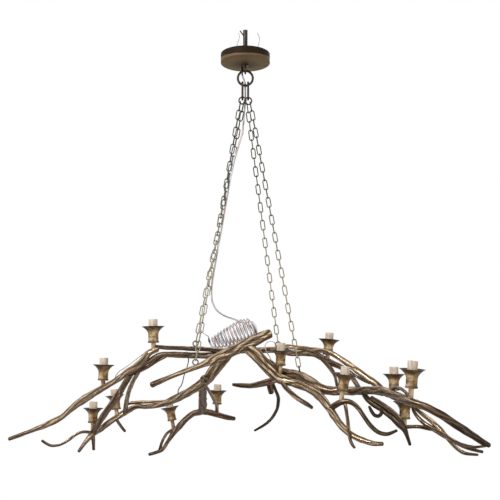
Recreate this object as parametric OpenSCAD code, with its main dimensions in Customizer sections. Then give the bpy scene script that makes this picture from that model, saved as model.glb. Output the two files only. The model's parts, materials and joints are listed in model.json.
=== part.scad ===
// Branch chandelier: a nest of gilt bronze branches with twelve imitation candles, hung by
// four chains and one large ring from a round ceiling canopy. Millimetres, +Z up.
// Origin: on the hanging axis, level with the canopy's upper edge, where it meets the ceiling.

/* [Branch frame] */
// Width of the front elevation from the left tip to the right tip, at the depth of the hanging axis
frame_w = 1350; // [1100:10:1600]
// Distance from the eye that drew the elevation to the hanging axis
eye_distance = 2290; // [1800:10:4000]
// Height of the canopy's upper edge above the level of the eye
drop_h = 882; // [800:2:980]
// Distance of the frame's drawn middle plane behind the hanging axis, which lets it hang level
frame_back = 22; // [10:0.5:34]
// Spread of the frame from front to back, as a share of the depth that was drawn
depth_share = 1; // [0.8:0.05:1.2]
// Thickness of the branches, as a share of the thickness that was drawn
girth = 1; // [0.85:0.05:1.2]

/* [Candle cup] */
// Diameter of the flared rim
cup_rim_d = 60; // [54:1:66]
// Outer diameter of the straight waist
cup_waist_d = 27; // [26.6:0.1:30]
// Height of the cup from its foot to its rim
cup_h = 44; // [38:1:50]
// Height of the flared part
flare_h = 23; // [16:1:26]
// Diameter of the collar round the foot
cup_collar_d = 30; // [29:0.5:34]
// Height of that collar
cup_collar_h = 4; // [3:0.5:6]
// Thickness of the cup's metal
cup_wall = 1.2; // [0.8:0.1:1.3]
// Thickness of the cup's floor
cup_floor = 2; // [1.5:0.5:3]

/* [Candle] */
// Outer diameter of the candle sleeve
sleeve_d = 24; // [20:0.5:24]
// Wall of the candle sleeve
sleeve_wall = 1; // [0.8:0.1:1.4]
// Height of the candle sleeve above the rim of its cup
candle_show = 19; // [12:1:60]
// Inner diameter of the lamp cap's hole in the lampholder
socket_d = 14.5; // [13:0.1:15]
// Depth of the lamp cap's hole
socket_depth = 26; // [18:1:30]
// Diameter of the stem under the cup
stem_d = 12.5; // [11:0.5:16]
// Diameter of the threaded spigot on top of the stem
spigot_d = 10; // [8:0.5:10]
// Length of that spigot above the cup's floor
spigot_l = 8; // [6:0.5:10]

/* [Chains] */
// Distance from one chain link to the next
link_pitch = 25.8; // [22:0.2:32]
// Outer width of a chain link
link_w = 14; // [12:0.5:16]
// Wire diameter of a chain link
link_wire = 3; // [2.4:0.1:3.4]
// Wire diameter of the eyes on the branches
eye_wire = 3.4; // [3:0.1:4]
// Outer diameter of the eyes on the branches
eye_d = 18; // [16:0.5:22]

/* [Ring and hub] */
// Outer diameter of the large ring
ring_d = 49; // [46:1:56]
// Wire diameter of the large ring
ring_wire = 6.5; // [6:0.1:7]
// Length of a hub link
hub_link_l = 55; // [50:1:64]
// Outer width of a hub link
hub_link_w = 22; // [21.5:0.5:24]
// Wire diameter of a hub link
hub_link_wire = 6; // [5.5:0.1:6]
// Distance between the two hub links
hub_pitch = 16; // [15.5:0.1:18]
// Outer diameter of a hub ring
hub_ring_d = 24; // [22.5:0.5:25]
// Wire diameter of a hub ring
hub_ring_wire = 4; // [3.4:0.1:4.2]

/* [Ceiling fixing] */
// Diameter of the canopy
canopy_d = 140; // [126:1:160]
// Height of the canopy's straight rim
canopy_rim_h = 25; // [20:1:34]
// Depth of the canopy's shallow dome below its rim
canopy_dome_h = 4; // [3:0.5:8]
// Thickness of the canopy's metal
canopy_wall = 1.5; // [1:0.1:2.5]
// Diameter of the threaded ceiling stem
stud_d = 13; // [10:0.5:14]
// Height of the ceiling stem above the canopy
stud_h = 70; // [50:1:90]
// Length of the strap that is screwed to the ceiling box
strap_l = 96; // [90:1:104]
// Width of that strap
strap_w = 20; // [18:1:24]
// Thickness of that strap
strap_t = 2.5; // [2:0.5:3]
// Distance between the strap's screw holes
strap_holes = 76; // [60:1:80]
// Diameter of the strap's screw holes
strap_hole_d = 4.5; // [4:0.5:6]
// Diameter of the collar on the ceiling loop
collar_d = 18; // [16:0.5:20]
// Height of that collar
collar_h = 5; // [4.5:0.5:8]
// Inner diameter of the ceiling loop
loop_hole = 14; // [13.5:0.5:18]
// Wire diameter of the ceiling loop
loop_wire = 6; // [5:0.1:6.2]
// Width of the hexagon nuts across their corners
nut_d = 24; // [22:0.5:26]
// Height of a hexagon nut
nut_h = 6; // [5:0.5:8]

/* [Wiring] */
// Diameter of the supply cord
cord_d = 5.4; // [4:0.1:6]
// Diameter of the single leads
lead_d = 3; // [2:0.1:3.4]

/* [Hidden] */
$fn = 48;
gap = 0.25;                                  // clearance between pieces that hang in each other
fit = 0.1;                                   // clearance of a spigot in its hole, on the diameter
squares = 479;                               // width of the drawn elevation, in squares
axis_column = 245;                           // column of the hanging axis on the drawing
eye_row = 365;                               // row that is level with the eye
sq = frame_w / squares;                      // size of one square at the hanging axis
eye_z = -drop_h;                             // level of the eye
cup_squares = 15.6;                          // height of a cup on the drawing, in squares
wire_facets = 24;                            // facets round a wire
cut = 1;                                     // how far a cutting shape reaches past a face
nose_near = [0.35, 0.8];                     // rounded branch end: reach and radius, as shares
nose_far = [0.6, 0.45];                      // of the end's radius
flare_power = 2.1;                           // how late the cup's flare opens
cup_lip = [0.2, 0.6];                        // how far the cup's lip stands out, and its height
cup_chamfer = 1;                             // chamfer of the cup's collar
holder_recess = 1.5;                         // lampholder's top below the sleeve's top
spigot_play = 1.5;                           // room in the lampholder past the spigot
eye_post = 1.5;                              // post under a chain eye, in eye wires
eye_sink = 0.3;                              // how far an eye sinks into its post, in eye wires
dome_arc = 77.4;                             // angle that the canopy's dome turns through
stud_grip = 0.3;                             // share of the loop's collar that the stem fills
pin_d = 3.4;                                 // brace pin on the ceiling stem: diameter,
pin_l = 21;                                  // length,
pin_tilt = 35;                               // angle from the stem
pin_drop = 18;                               // and how far its foot is below the stem's top
cord_hole = [-9, 14];                        // hole for the supply cord in the canopy
cord_hole_play = 1;                          // how much wider that hole is than the cord
coil_left_drawn = [209.5, 345.3, -11];       // left end of the coil on the drawing
coil_right_drawn = [255, 327.3, 4.5];        // right end of the coil

gilt = [0.47, 0.37, 0.24];
pale_gilt = [0.62, 0.54, 0.36];
dark_bronze = [0.23, 0.19, 0.14];
brown_bronze = [0.40, 0.30, 0.20];
black_steel = [0.13, 0.12, 0.11];
brass_chain = [0.55, 0.50, 0.36];
candle_cream = [0.83, 0.74, 0.64];
holder_white = [0.88, 0.87, 0.83];
clear_cord = [0.66, 0.65, 0.64];
steel = [0.62, 0.62, 0.60];

// ---- Lines drawn on the front elevation ----
// Each point is [column, row, squares behind the hanging axis, half thickness in squares].

trunk_line = [
    [268, 335, -4, 5], [258, 339.5, -8, 5.4], [246, 345.5, -14, 5.6], [233, 351.5, -21, 5.4],
    [220, 357.5, -28, 5.3], [210, 362.3, -34, 4.4], [203, 365.3, -38, 3], [192, 369.3, -41, 2.5],
    [178, 374.6, -46, 2.4], [165, 380, -52, 2.5], [153, 385.2, -58, 2.9]
];
front_line = [
    [247, 348.5, -13, 5.3], [254.5, 354.5, -12, 6.1], [262.5, 362, -11, 6.1], [270, 370.5, -9, 5.9],
    [277.5, 378.5, -8, 5.1], [288, 382, -12, 4.4], [300, 385.2, -20, 4.5], [311, 390, -32, 4.5],
    [320.5, 397.5, -46, 4.3], [328, 407, -60, 4], [334, 415.5, -70, 3.7], [341, 425, -80, 3.5],
    [350, 433.6, -90, 3.3], [362, 439.6, -98, 2.9], [373, 443, -104, 2.5], [382.5, 443.6, -108, 2.1]
];
front_right_line = [
    [268, 363, 0, 3.8], [277, 371, 3, 4.6], [287, 374.3, -2, 4.8], [298, 376, -12, 4.8],
    [308, 381, -22, 4.8], [317, 387, -30, 4.9], [327, 390.6, -37, 4.7], [339, 391.2, -43, 4.4],
    [352, 391.3, -50, 4.2], [367, 390.6, -66, 4.1], [382, 391.5, -90, 4.4], [397, 396, -122, 4.4],
    [412, 401.8, -156, 4.3], [427, 407, -166, 4], [442, 414.5, -168, 4],
    [456, 423.6, -165, 4], [470.5, 433.2, -160, 3.8], [482, 440.8, -155, 3.3],
    [489.5, 445, -152, 2.4]
];
back_line = [
    [156, 347.5, -44, 2.2], [170, 348.5, -32, 2.1], [188, 349.3, -8, 2.3], [204, 350, 16, 2.5],
    [218, 351.3, 32, 2.4], [234, 352, 40, 2.6], [250, 351.5, 43, 2.8], [264, 351, 43, 3],
    [280, 351.2, 40, 3.3], [289, 353.5, 36, 3.3], [303, 353.8, 28, 3.2], [314, 355, 18, 3.2],
    [324, 360.2, 8, 3.1], [333, 364.6, -2, 3], [341, 368.5, -10, 2.8], [350, 376, -24, 2.6],
    [355, 383, -42, 2.4], [359.5, 389.5, -58, 2.2]
];
back_left_line = [
    [238, 353, 41, 2.2], [220, 356, 34, 3], [205, 356.4, 18, 3.1], [188, 356, -6, 3.1],
    [172, 355.3, -26, 3], [160, 355.8, -37, 2.6], [150, 361.5, -40, 2.3], [141, 367.5, -39, 2]
];
back_right_line = [
    [285.5, 347.4, 39, 2.2], [300, 348.8, 30, 2.3], [313, 350.6, 10, 2.4], [325, 352, -4, 2.5],
    [333, 355.3, -10, 2.6], [341, 360.3, -15, 2.8], [350, 366.3, -22, 3.1], [358, 372.3, -28, 3.2],
    [366, 378.3, -34, 3.3], [374, 383.5, -39, 3.5], [383, 391, -44, 3.1], [393, 397.3, -50, 2.9],
    [403, 401.3, -56, 2.9], [411, 405.3, -60, 2.6], [416.5, 409.8, -66, 2.2], [423, 415, -73, 2.3],
    [431, 421.3, -80, 2.4], [438, 427.8, -85, 2.5], [444, 434.6, -90, 2.4], [450, 441.6, -94, 2],
    [456, 448, -98, 1.9], [464, 452.6, -102, 1.8], [477, 454.3, -110, 1.2]
];
outer_left_line = [
    [158, 350, -44, 2.7], [150, 353.5, -44, 3.4], [144, 361, -42, 3.7], [137, 367.5, -38, 3.7],
    [128, 373, -32, 3.5], [117, 381, -23, 2.8], [104, 388.3, -12, 3.1], [92, 395.5, -2, 3.7],
    [80.5, 402.8, 6, 3.7], [71.5, 410.3, 10, 3], [64, 416.8, 12, 2.5], [54, 422, 15, 3.1],
    [45, 426.3, 17, 2.8], [34, 430.5, 19, 2], [23, 434.6, 21, 1.9], [12, 438.7, 23, 1.8]
];
low_left_line = [
    [231, 352, -19, 4.3], [222, 361, -12, 6], [213, 372.5, 0, 5.8], [203, 383.5, 14, 4.7],
    [190, 391.5, 30, 4.1], [174, 400, 50, 3.8], [158, 405.5, 66, 2.7], [146, 407, 76, 2.2],
    [136, 407, 84, 2.5], [124, 413.5, 90, 3], [112, 421, 84, 2.9], [102, 428.5, 68, 2.8],
    [94, 434, 52, 3], [87.5, 441, 46, 2], [80.5, 450.8, 42, 1.5]
];
steep_left_line = [
    [139, 366, -38, 2.6], [132, 374, -22, 3], [126, 384, -8, 3.1], [118, 397, 8, 3.3],
    [109.5, 409, 22, 3.3], [101.5, 420.5, 38, 3], [94.3, 432.5, 52, 2.4]
];
pale_left_line = [
    [142, 368, -38, 2.2], [136, 378, -8, 2.1], [130.5, 389, 28, 2.2], [127.5, 400, 60, 2.2],
    [125.5, 412.3, 87, 2.4]
];
drop_line = [
    [203, 384, 15, 4.2], [202.5, 391, 36, 4.1], [202.3, 399, 60, 4], [202, 406, 82, 4.2],
    [200.5, 411.5, 96, 3.6], [193, 413.8, 104, 3], [185, 419.5, 112, 2.9], [179, 426.5, 118, 2.9],
    [174, 431.8, 122, 2.8], [168, 440.5, 126, 1.9], [161.5, 449.5, 128, 1.8],
    [149.5, 453.6, 130, 1.5]
];
dark_right_line = [
    [362.5, 392.5, -62, 2.4], [367, 399, -64, 3], [374, 404.5, -66, 3], [382, 409.5, -68, 3.2],
    [390, 416, -70, 3.3], [397.5, 423.3, -71, 3.1], [403.5, 429, -72, 2.8],
    [406.5, 436.5, -72, 1.9], [409, 444.3, -72, 1.6]
];
far_right_line = [
    [412, 405.6, -66, 1.8], [413, 411, -69, 1.8], [417.5, 417.5, -74, 2], [424, 423.5, -79, 2.2],
    [433, 429, -85, 2.5], [442, 434.3, -92, 2.8], [450.5, 439.3, -100, 2.3],
    [461, 444, -114, 1.8], [473, 446.6, -130, 1.6], [482, 446, -142, 1.4], [489, 444.6, -152, 1.5]
];
s_line = [
    [329.5, 410, -63, 2.8], [334.5, 405.8, -68, 3.2], [341, 402.3, -75, 3.2],
    [347.5, 401.6, -78, 2.6], [353.5, 403.8, -80, 2.3], [359.5, 409.8, -83, 2.3],
    [365, 418, -86, 2.3], [371, 426, -89, 2.3], [378, 431.8, -91, 2.1], [387, 433.8, -92, 1.9],
    [396.5, 430.3, -92, 1.3]
];
// Twigs and offshoots, in groups that don't touch each other.
wavy_twig = [
    [94, 432.5, 51, 1.6], [85, 431.7, 50, 1.5], [78, 434, 49, 1.4], [70, 440, 48, 1.4],
    [62, 444.2, 47, 1.4], [54, 445.2, 46, 1.4], [48.5, 443, 46, 1.4], [44.3, 440.3, 46, 1.3]
];
spur_twig = [[116.5, 418, 88, 1.7], [120.5, 424.5, 89, 1.5], [125.8, 431, 90, 1.3]];
arc_twig = [
    [166, 357, -32, 1.7], [157, 362, -37, 1.7], [148, 367.8, -39, 1.8], [138, 372.5, -36, 1.9],
    [130, 375.5, -31, 1.7]
];
inner_twig = [
    [172.5, 429.5, 122, 1.5], [166.5, 433.5, 124, 1.4], [162.5, 440.5, 126, 1.4],
    [159.5, 450, 128, 1.4]
];
fork_twig = [
    [200, 411.3, 95, 3.3], [209, 412.6, 102, 2.9], [218, 415.2, 110, 2.8], [226, 417.5, 116, 2.7],
    [233, 418.8, 120, 2.1]
];
end_twig = [[94, 434, 52, 2.4], [94.8, 441, 53, 1.8], [95.3, 448.8, 54, 1.5]];
split_twig = [
    [168, 402, 57, 1.8], [152, 402.3, 68, 1.7], [140, 402.5, 72, 1.7], [131, 403.4, 74, 1.6],
    [126.5, 405.2, 72, 1.5]
];
brace_left_twig = [
    [204.5, 384.5, 10, 1.5], [208.5, 391, 30, 1.5], [212.5, 399, 60, 1.3], [215.5, 406, 92, 1.2],
    [216.5, 412, 106, 1.2]
];
knot_stub = [[204.5, 380.5, 7, 4.2], [204.5, 380, 0, 4.3], [204.5, 379.5, -7, 3.8]];
tusk_twig = [
    [276, 379.5, -8, 3.4], [268, 382.5, -10, 3.6], [259, 385, -16, 3.1], [250, 386, -24, 2.7],
    [241, 385.8, -32, 2.2], [233.5, 385, -38, 1.5]
];
stick_twig = [
    [281, 381.5, -10, 2.2], [285.5, 388, -16, 2.4], [292, 394.5, -24, 2.4],
    [299, 399.5, -32, 2.4], [305.5, 403.8, -40, 2.3], [311.5, 407.8, -47, 1.8]
];
stub_twig = [[268.5, 383, -9, 3.1], [269.7, 388, -9, 3], [271, 393, -9, 2.7]];
curl_twig = [
    [271.5, 382.3, -7.5, 1.9], [275, 390.5, -2, 1.7], [277.6, 398, 6, 1.7], [277, 406, 12, 1.7],
    [274.5, 413, 18, 1.6], [270, 419.3, 23, 1.5], [263.5, 425, 28, 1.4], [254, 430.3, 34, 1.1]
];
thin_drop_twig = [
    [345, 402.5, -76, 1.7], [346.3, 411, -80, 1.9], [347.7, 421, -86, 1.8], [349, 430.5, -92, 1.8],
    [350, 437.5, -98, 1.7], [351.8, 443, -102, 1.6], [354.8, 447.2, -104, 1.3]
];
brace_twig = [
    [321, 359.5, 9, 2.2], [326.5, 365, 2, 2.4], [331.5, 371.5, -8, 2.1], [334.8, 378.5, -22, 1.6],
    [336.8, 389, -41, 1.5]
];
twin_twig = [
    [316, 356.5, 14, 1.4], [325, 361, 3, 1.6], [333, 363, -6, 1.6], [341, 366.8, -11, 1.6],
    [348, 371.3, -17, 1.5], [354, 375.8, -22, 1.4], [361, 380, -28, 1.4], [369, 383.5, -37, 1.3]
];
brace_right_twig = [
    [390, 392.5, -106, 1.9], [396, 387.8, -114, 1.7], [403, 389.5, -132, 1.7],
    [409, 394.5, -148, 1.7], [412, 400, -156, 1.6]
];
dark_strand_twig = [
    [371.5, 398.3, -66, 2.6], [378, 401.8, -72, 2.2], [385, 406, -79, 2], [393, 411.8, -84, 2],
    [400, 419.3, -84, 1.9], [404.5, 427.5, -76, 1.6]
];
hook_twig = [
    [380.5, 409, -69, 2], [381, 413, -71, 2], [378.5, 416, -72, 1.9], [374.5, 415.3, -73, 1.9],
    [371.3, 411.5, -74, 1.7], [369, 406.8, -75, 1.3]
];
low_right_twig = [
    [446, 437, -95, 1.7], [456, 442.8, -104, 1.8], [466, 447.4, -112, 1.7],
    [475, 449.8, -118, 1.6], [482, 451.4, -121, 1.5]
];
short_right_twig = [[404.5, 426.8, -70, 2.1], [418, 426.5, -75, 1.9], [431, 429, -84, 1.9]];

// ---- Candles: rim centre on the elevation, and where the stem stands on its branch ----
// Each is [column, row, squares behind the hanging axis, branch line, place along that line].

candles = [
    [153.8, 327.2, -44, outer_left_line, 0.5],
    [104.7, 365.3, -12, outer_left_line, 6],
    [94.4, 408.3, 52, low_left_line, 12],
    [115.4, 395.8, 88, low_left_line, 9.5],
    [169.5, 407.4, 122, drop_line, 8],
    [216.6, 391, 108, fork_twig, 1.75],
    [280.6, 350.5, -11.5, front_line, 4.2],
    [328.2, 340.4, 6, back_line, 12.25],
    [345, 374.3, -77, s_line, 2],
    [393.3, 374.4, -50, back_right_line, 11],
    [414.3, 369.2, -158, front_right_line, 12],
    [404.4, 402, -73, dark_right_line, 6]
];
left_candles = [0, 1, 2, 3, 4, 5];
right_candles = [6, 7, 8, 9, 10, 11];

// ---- Chains: hub ring, place on its lower bow in degrees, branch line, place along it ----

chain_front_left_run = [-1, -62, trunk_line, 6.75];
chain_back_left_run = [-1, 35, back_line, 2.4];
chain_back_right_run = [1, -35, back_line, 7.85];
chain_front_right_run = [1, 62, front_right_line, 3.2];

// ---- Routes of the cords, in millimetres ----

supply_route = [
    [0, 8, -91], [0, 8.6, -99], [0, 9, -111], [0, 9.3, -124], [-1, 10, -138], [-2.5, 12, -156],
    [-4, 12, -178], [-5.5, 8, -202], [-9, -1, -232], [-18, -10, -264], [-30, -17, -306],
    [-42, -24, -366], [-52, -31, -426], [-62, -38, -486], [-72, -45, -546], [-82, -52, -606],
    [-89, -56, -650], [-92, -56, -680], [-91, -51, -704], [-85, -42, -722], [-75, -31, -735],
    [-62, -18, -744], [-48, -7, -750], [-35, 1, -754], [-23, 6, -758.5], [-12, 8, -763]
];
coil_lead_route = [
    [-98.6, -9, -825], [-105, -10, -822.5], [-111, -16, -816], [-115, -30, -807], [-117, -46, -799],
    [-118.5, -60, -792], [-119.5, -69, -788]
];
drop_lead_route = [
    [-159, 4.6, -865.2], [-158.5, 2, -871], [-160, -5, -881], [-163, -9, -892], [-167, -8, -904],
    [-171, -7, -916], [-174, -6, -930], [-176, -5, -944], [-180, -4, -950],
    [-186, -4, -948], [-188, -4, -956], [-186, -4, -964]
];
branch_lead_route = [
    [-250, -103, -841], [-261, -101, -846], [-271, -97, -853], [-284, -90, -861.5], [-297.5, -82, -871],
    [-313, -72, -882], [-330, -60, -893], [-345, -50, -902], [-352, -46, -910], [-356, -44, -917]
];
curl_lead_route = [
    [88, 131, -832], [87, 125, -823], [83, 114, -817], [76, 102, -815], [66, 88, -817], [58, 72, -824],
    [57, 56, -834], [60, 40, -846], [67, 26, -858], [75, 14, -872.5]
];
tail_left_route = [
    [-10.5, 14, -23], [-14, 17, -15], [-18, 17, -6], [-22, 16, 6], [-25, 14, 20], [-24, 12, 33],
    [-20, 11, 47], [-18, 11, 58], [-20, 11, 67]
];
tail_right_route = [
    [-7.2, 14, -23], [0, 19, -17], [10, 19, -10], [20, 17, 0], [28, 15, 12], [35, 13, 26],
    [40, 12, 44], [39, 11, 57], [34, 11, 67]
];

// ---- Placing and smoothing ----

function unit(v) = v / norm(v);

// Sets a drawn point back along its line of sight: [x, y, z, radius] in millimetres.
function placed(p) =
    let (away = p[2] * sq * depth_share + frame_back, s = sq * (1 + away / eye_distance))
    [(p[0] - axis_column) * s, away, eye_z + (eye_row - p[1]) * s, (len(p) > 3 ? p[3] : 1) * s * girth];

function placed_line(line) = [for (p = line) placed(p)];

// Point at place u on the smooth curve through the points of a path.
function smooth_at(path, u) =
    let (
        last = len(path) - 1,
        i = min(floor(u), last - 1),
        t = u - i,
        a = path[max(i - 1, 0)],
        b = path[i],
        c = path[i + 1],
        d = path[min(i + 2, last)]
    )
    b + 0.5 * t * ((c - a) + t * (2 * a - 5 * b + 4 * c - d + t * (3 * b - 3 * c + d - a)));

function smooth_path(path, steps) =
    [for (k = [0 : steps * (len(path) - 1)]) smooth_at(path, k / steps)];

function spot(p) = [p[0], p[1], p[2]];

function on_line(line, u) = smooth_at(placed_line(line), u);

function headings(path) =
    let (last = len(path) - 1)
    [for (i = [0 : last]) unit(spot(path[min(i + 1, last)]) - spot(path[max(i - 1, 0)]))];

// Carries a sideways direction along the headings without twist.
function sideways(heads, i, before) =
    i >= len(heads) ? [] :
    let (v = unit(before - (before * heads[i]) * heads[i])) concat([v], sideways(heads, i + 1, v));

function first_side(h) = abs(h[1]) < 0.9 ? cross(h, [0, 1, 0]) : cross(h, [1, 0, 0]);

// Adds a small round nose at both ends of a path of [x, y, z, radius].
function nosed(path) =
    let (
        last = len(path) - 1,
        a = path[0],
        b = path[last],
        da = unit(spot(a) - spot(path[1])),
        db = unit(spot(b) - spot(path[last - 1]))
    )
    concat(
        [nose(a, da, nose_far), nose(a, da, nose_near)],
        path,
        [nose(b, db, nose_near), nose(b, db, nose_far)]
    );

function nose(p, d, shares) = concat(spot(p) + d * p[3] * shares[0], [p[3] * shares[1]]);

function ring_points(p, head, side, sides) =
    let (other = cross(head, side))
    [for (k = [0 : sides - 1])
        spot(p) + p[3] * (cos(360 * k / sides) * side + sin(360 * k / sides) * other)];

// Solid swept along [x, y, z, radius] points, with flat ends.
module sweep(path, sides) {
    heads = headings(path);
    sides_at = sideways(heads, 0, first_side(heads[0]));
    count = len(path);
    points = [for (i = [0 : count - 1]) each ring_points(path[i], heads[i], sides_at[i], sides)];
    skin = [for (i = [0 : count - 2], k = [0 : sides - 1])
        let (a = i * sides + k, b = i * sides + (k + 1) % sides)
        each [[a, a + sides, b + sides], [a, b + sides, b]]];
    near_end = [[for (k = [0 : sides - 1]) k]];
    far_end = [[for (k = [sides - 1 : -1 : 0]) (count - 1) * sides + k]];
    polyhedron(points = points, faces = concat(skin, near_end, far_end), convexity = 8);
}

module branch(line, sides = 8, steps = 2) {
    sweep(nosed(smooth_path(placed_line(line), steps)), sides);
}

// A cord: round tube through route points, each end flat.
module cord(route, d, steps, sides = 8) {
    sweep(smooth_path([for (p = route) [p[0], p[1], p[2], d / 2]], steps), sides);
}

// Puts children at a point with their Z axis along a direction and their X axis near side.
module stand(at, dir, side = [1, 0, 0]) {
    z = unit(dir);
    x = unit(side - (side * z) * z);
    y = cross(z, x);
    multmatrix([
        [x[0], y[0], z[0], at[0]],
        [x[1], y[1], z[1], at[1]],
        [x[2], y[2], z[2], at[2]],
        [0, 0, 0, 1]
    ]) children();
}

// Ring of round wire in its own X-Z plane.
module wire_ring(outer_d, wire) {
    rotate([90, 0, 0]) rotate_extrude() translate([(outer_d - wire) / 2, 0]) circle(d = wire, $fn = wire_facets);
}

// Oval link of round wire in its own X-Z plane, long way along Z.
module oval_link(length, width, wire) {
    bend = (width - wire) / 2;
    straight = length - width;
    for (up = [1, -1])
        translate([0, 0, up * straight / 2]) rotate([90, up < 0 ? 180 : 0, 0])
            rotate_extrude(angle = 180) translate([bend, 0]) circle(d = wire, $fn = wire_facets);
    for (side = [1, -1])
        translate([side * bend, 0, -straight / 2]) cylinder(d = wire, h = straight, $fn = wire_facets);
}

// ---- Heights of the hanging pieces ----

canopy_bottom = -(canopy_rim_h + canopy_dome_h);
loop_mid = canopy_bottom - collar_h - loop_hole / 2 - loop_wire * 0.5;
loop_bar = loop_mid - (loop_hole + loop_wire) / 2;
ring_top_bar = loop_bar + (loop_wire + ring_wire) / 2 + gap;
ring_r = (ring_d - ring_wire) / 2;
ring_mid = ring_top_bar - ring_r;
ring_bottom_bar = ring_mid - ring_r;
ring_seat_r = ring_r - (ring_wire + hub_link_wire) / 2 - gap;
hub_link_bar = ring_mid - sqrt(pow(ring_seat_r, 2) - pow(hub_pitch / 2, 2));
hub_link_mid = hub_link_bar - (hub_link_l - hub_link_wire) / 2;
hub_side = (hub_ring_wire + gap) / 2;
link_seat_r = (hub_link_w - hub_link_wire) / 2 - (hub_link_wire + hub_ring_wire) / 2 - gap;
hub_ring_r = (hub_ring_d - hub_ring_wire) / 2;
hub_ring_mid = hub_link_mid - (hub_link_l - hub_link_w) / 2
    - sqrt(pow(link_seat_r, 2) - pow(hub_side, 2)) - hub_ring_r;

// Centre of a hub ring: -1 is the left one, 1 the right one.
function hub_ring_at(side) = [side * hub_pitch / 2, side * hub_side, hub_ring_mid];

// ---- Chains ----

hub_reach = (link_wire + hub_ring_wire) / 2 + gap;
eye_reach = (link_wire + eye_wire) / 2 + gap;

// Middle of the first link's upper bow, which rests inside the hub ring.
function chain_top(run) =
    hub_ring_at(run[0]) + (hub_ring_r - hub_reach) * [sin(run[1]), 0, -cos(run[1])];
function chain_foot(run) = on_line(run[2], run[3]);
function chain_up(run) = unit(chain_top(run) - spot(chain_foot(run)));
function eye_mid(run) =
    let (foot = chain_foot(run)) spot(foot) + chain_up(run) * (foot[3] + eye_d / 2 - eye_wire * eye_sink);
function eye_top(run) = eye_mid(run) + chain_up(run) * (eye_d - eye_wire) / 2;
function chain_span(run) = norm(chain_top(run) - eye_top(run)) + eye_reach - link_wire - gap;
function link_count(run) = round(chain_span(run) / link_pitch);
function link_step(run) = chain_span(run) / link_count(run);

module chain(run) {
    up = chain_up(run);
    step = link_step(run);
    length = step + 2 * link_wire + gap;
    first = chain_top(run) - up * (length - link_wire) / 2;
    for (k = [0 : link_count(run) - 1])
        stand(first - up * step * k, up)
            rotate([0, 0, k % 2 == 0 ? 90 : 0]) oval_link(length, link_w, link_wire);
}

module chain_eye(run) {
    up = chain_up(run);
    last_turned = (link_count(run) - 1) % 2 == 0;
    stand(eye_mid(run), up) rotate([0, 0, last_turned ? 0 : 90]) wire_ring(eye_d, eye_wire);
    foot = spot(chain_foot(run));
    post = norm(eye_mid(run) - foot) - (eye_d - eye_wire) / 2;
    stand(foot, up) cylinder(d = eye_wire * eye_post, h = post, $fn = wire_facets);
}

// ---- Candle pieces: each is drawn upright with the cup's foot at zero ----

function candle_axis(n) =
    unit(spot(placed(candles[n])) - spot(on_line(candles[n][3], candles[n][4])));
function cup_foot(n) = spot(placed(candles[n])) - candle_axis(n) * cup_squares * sq;
function flare_r(t) = cup_waist_d / 2 + (cup_rim_d - cup_waist_d) / 2 * pow(t, flare_power);
flare_steps = 8;

module cup_shape() {
    waist_h = cup_h - flare_h;
    inner = [for (k = [0 : flare_steps]) let (t = k / flare_steps)
        [flare_r(t) - cup_wall, waist_h + t * flare_h]];
    outer = [for (k = [flare_steps : -1 : 0]) let (t = k / flare_steps)
        [flare_r(t) + (t == 1 ? cup_lip[0] : 0), waist_h + t * flare_h - (t == 1 ? cup_lip[1] : 0)]];
    difference() {
        rotate_extrude() polygon(concat(
            [[0, 0]], [[0, cup_floor], [cup_waist_d / 2 - cup_wall, cup_floor]],
            inner,
            [[flare_r(1), cup_h]],
            outer,
            [[cup_waist_d / 2, cup_collar_h + cup_chamfer], [cup_collar_d / 2, cup_collar_h],
             [cup_collar_d / 2, cup_chamfer], [cup_collar_d / 2 - cup_chamfer, 0]]
        ));
        translate([0, 0, -cut]) cylinder(d = spigot_d + fit, h = cup_floor + 2 * cut);
    }
}

module cup(n) {
    color(gilt) stand(cup_foot(n), candle_axis(n)) cup_shape();
}

module stem(n) {
    length = norm(cup_foot(n) - spot(on_line(candles[n][3], candles[n][4])));
    stand(cup_foot(n), candle_axis(n)) {
        translate([0, 0, -length]) cylinder(d = stem_d, h = length);
        cylinder(d = spigot_d, h = cup_floor + spigot_l);
    }
}

module lampholder(n) {
    height = cup_h + candle_show - cup_floor - holder_recess;
    stand(cup_foot(n), candle_axis(n)) translate([0, 0, cup_floor]) difference() {
        cylinder(d = sleeve_d - 2 * sleeve_wall - 2 * fit, h = height);
        translate([0, 0, -cut]) cylinder(d = spigot_d + fit, h = cut + spigot_l + spigot_play);
        translate([0, 0, height - socket_depth]) cylinder(d = socket_d, h = socket_depth + cut);
    }
}

module sleeve(n) {
    height = cup_h + candle_show - cup_floor;
    stand(cup_foot(n), candle_axis(n)) translate([0, 0, cup_floor]) difference() {
        cylinder(d = sleeve_d, h = height);
        translate([0, 0, -cut]) cylinder(d = sleeve_d - 2 * sleeve_wall, h = height + 2 * cut);
    }
}

module cup_1() { cup(0); }
module cup_2() { cup(1); }
module cup_3() { cup(2); }
module cup_4() { cup(3); }
module cup_5() { cup(4); }
module cup_6() { cup(5); }
module cup_7() { cup(6); }
module cup_8() { cup(7); }
module cup_9() { cup(8); }
module cup_10() { cup(9); }
module cup_11() { cup(10); }
module cup_12() { cup(11); }
module left_stems() { color(brown_bronze) for (n = left_candles) stem(n); }
module right_stems() { color(brown_bronze) for (n = right_candles) stem(n); }
module left_lampholders() { color(holder_white) for (n = left_candles) lampholder(n); }
module right_lampholders() { color(holder_white) for (n = right_candles) lampholder(n); }
module left_sleeves() { color(candle_cream) for (n = left_candles) sleeve(n); }
module right_sleeves() { color(candle_cream) for (n = right_candles) sleeve(n); }

// ---- Ceiling fixing ----

dome_steps = 8;
function dome_r(t) = canopy_d / 2 * cos(t * dome_arc);
function dome_z(t) = -canopy_rim_h - canopy_dome_h * sin(t * dome_arc) / sin(dome_arc);

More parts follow.
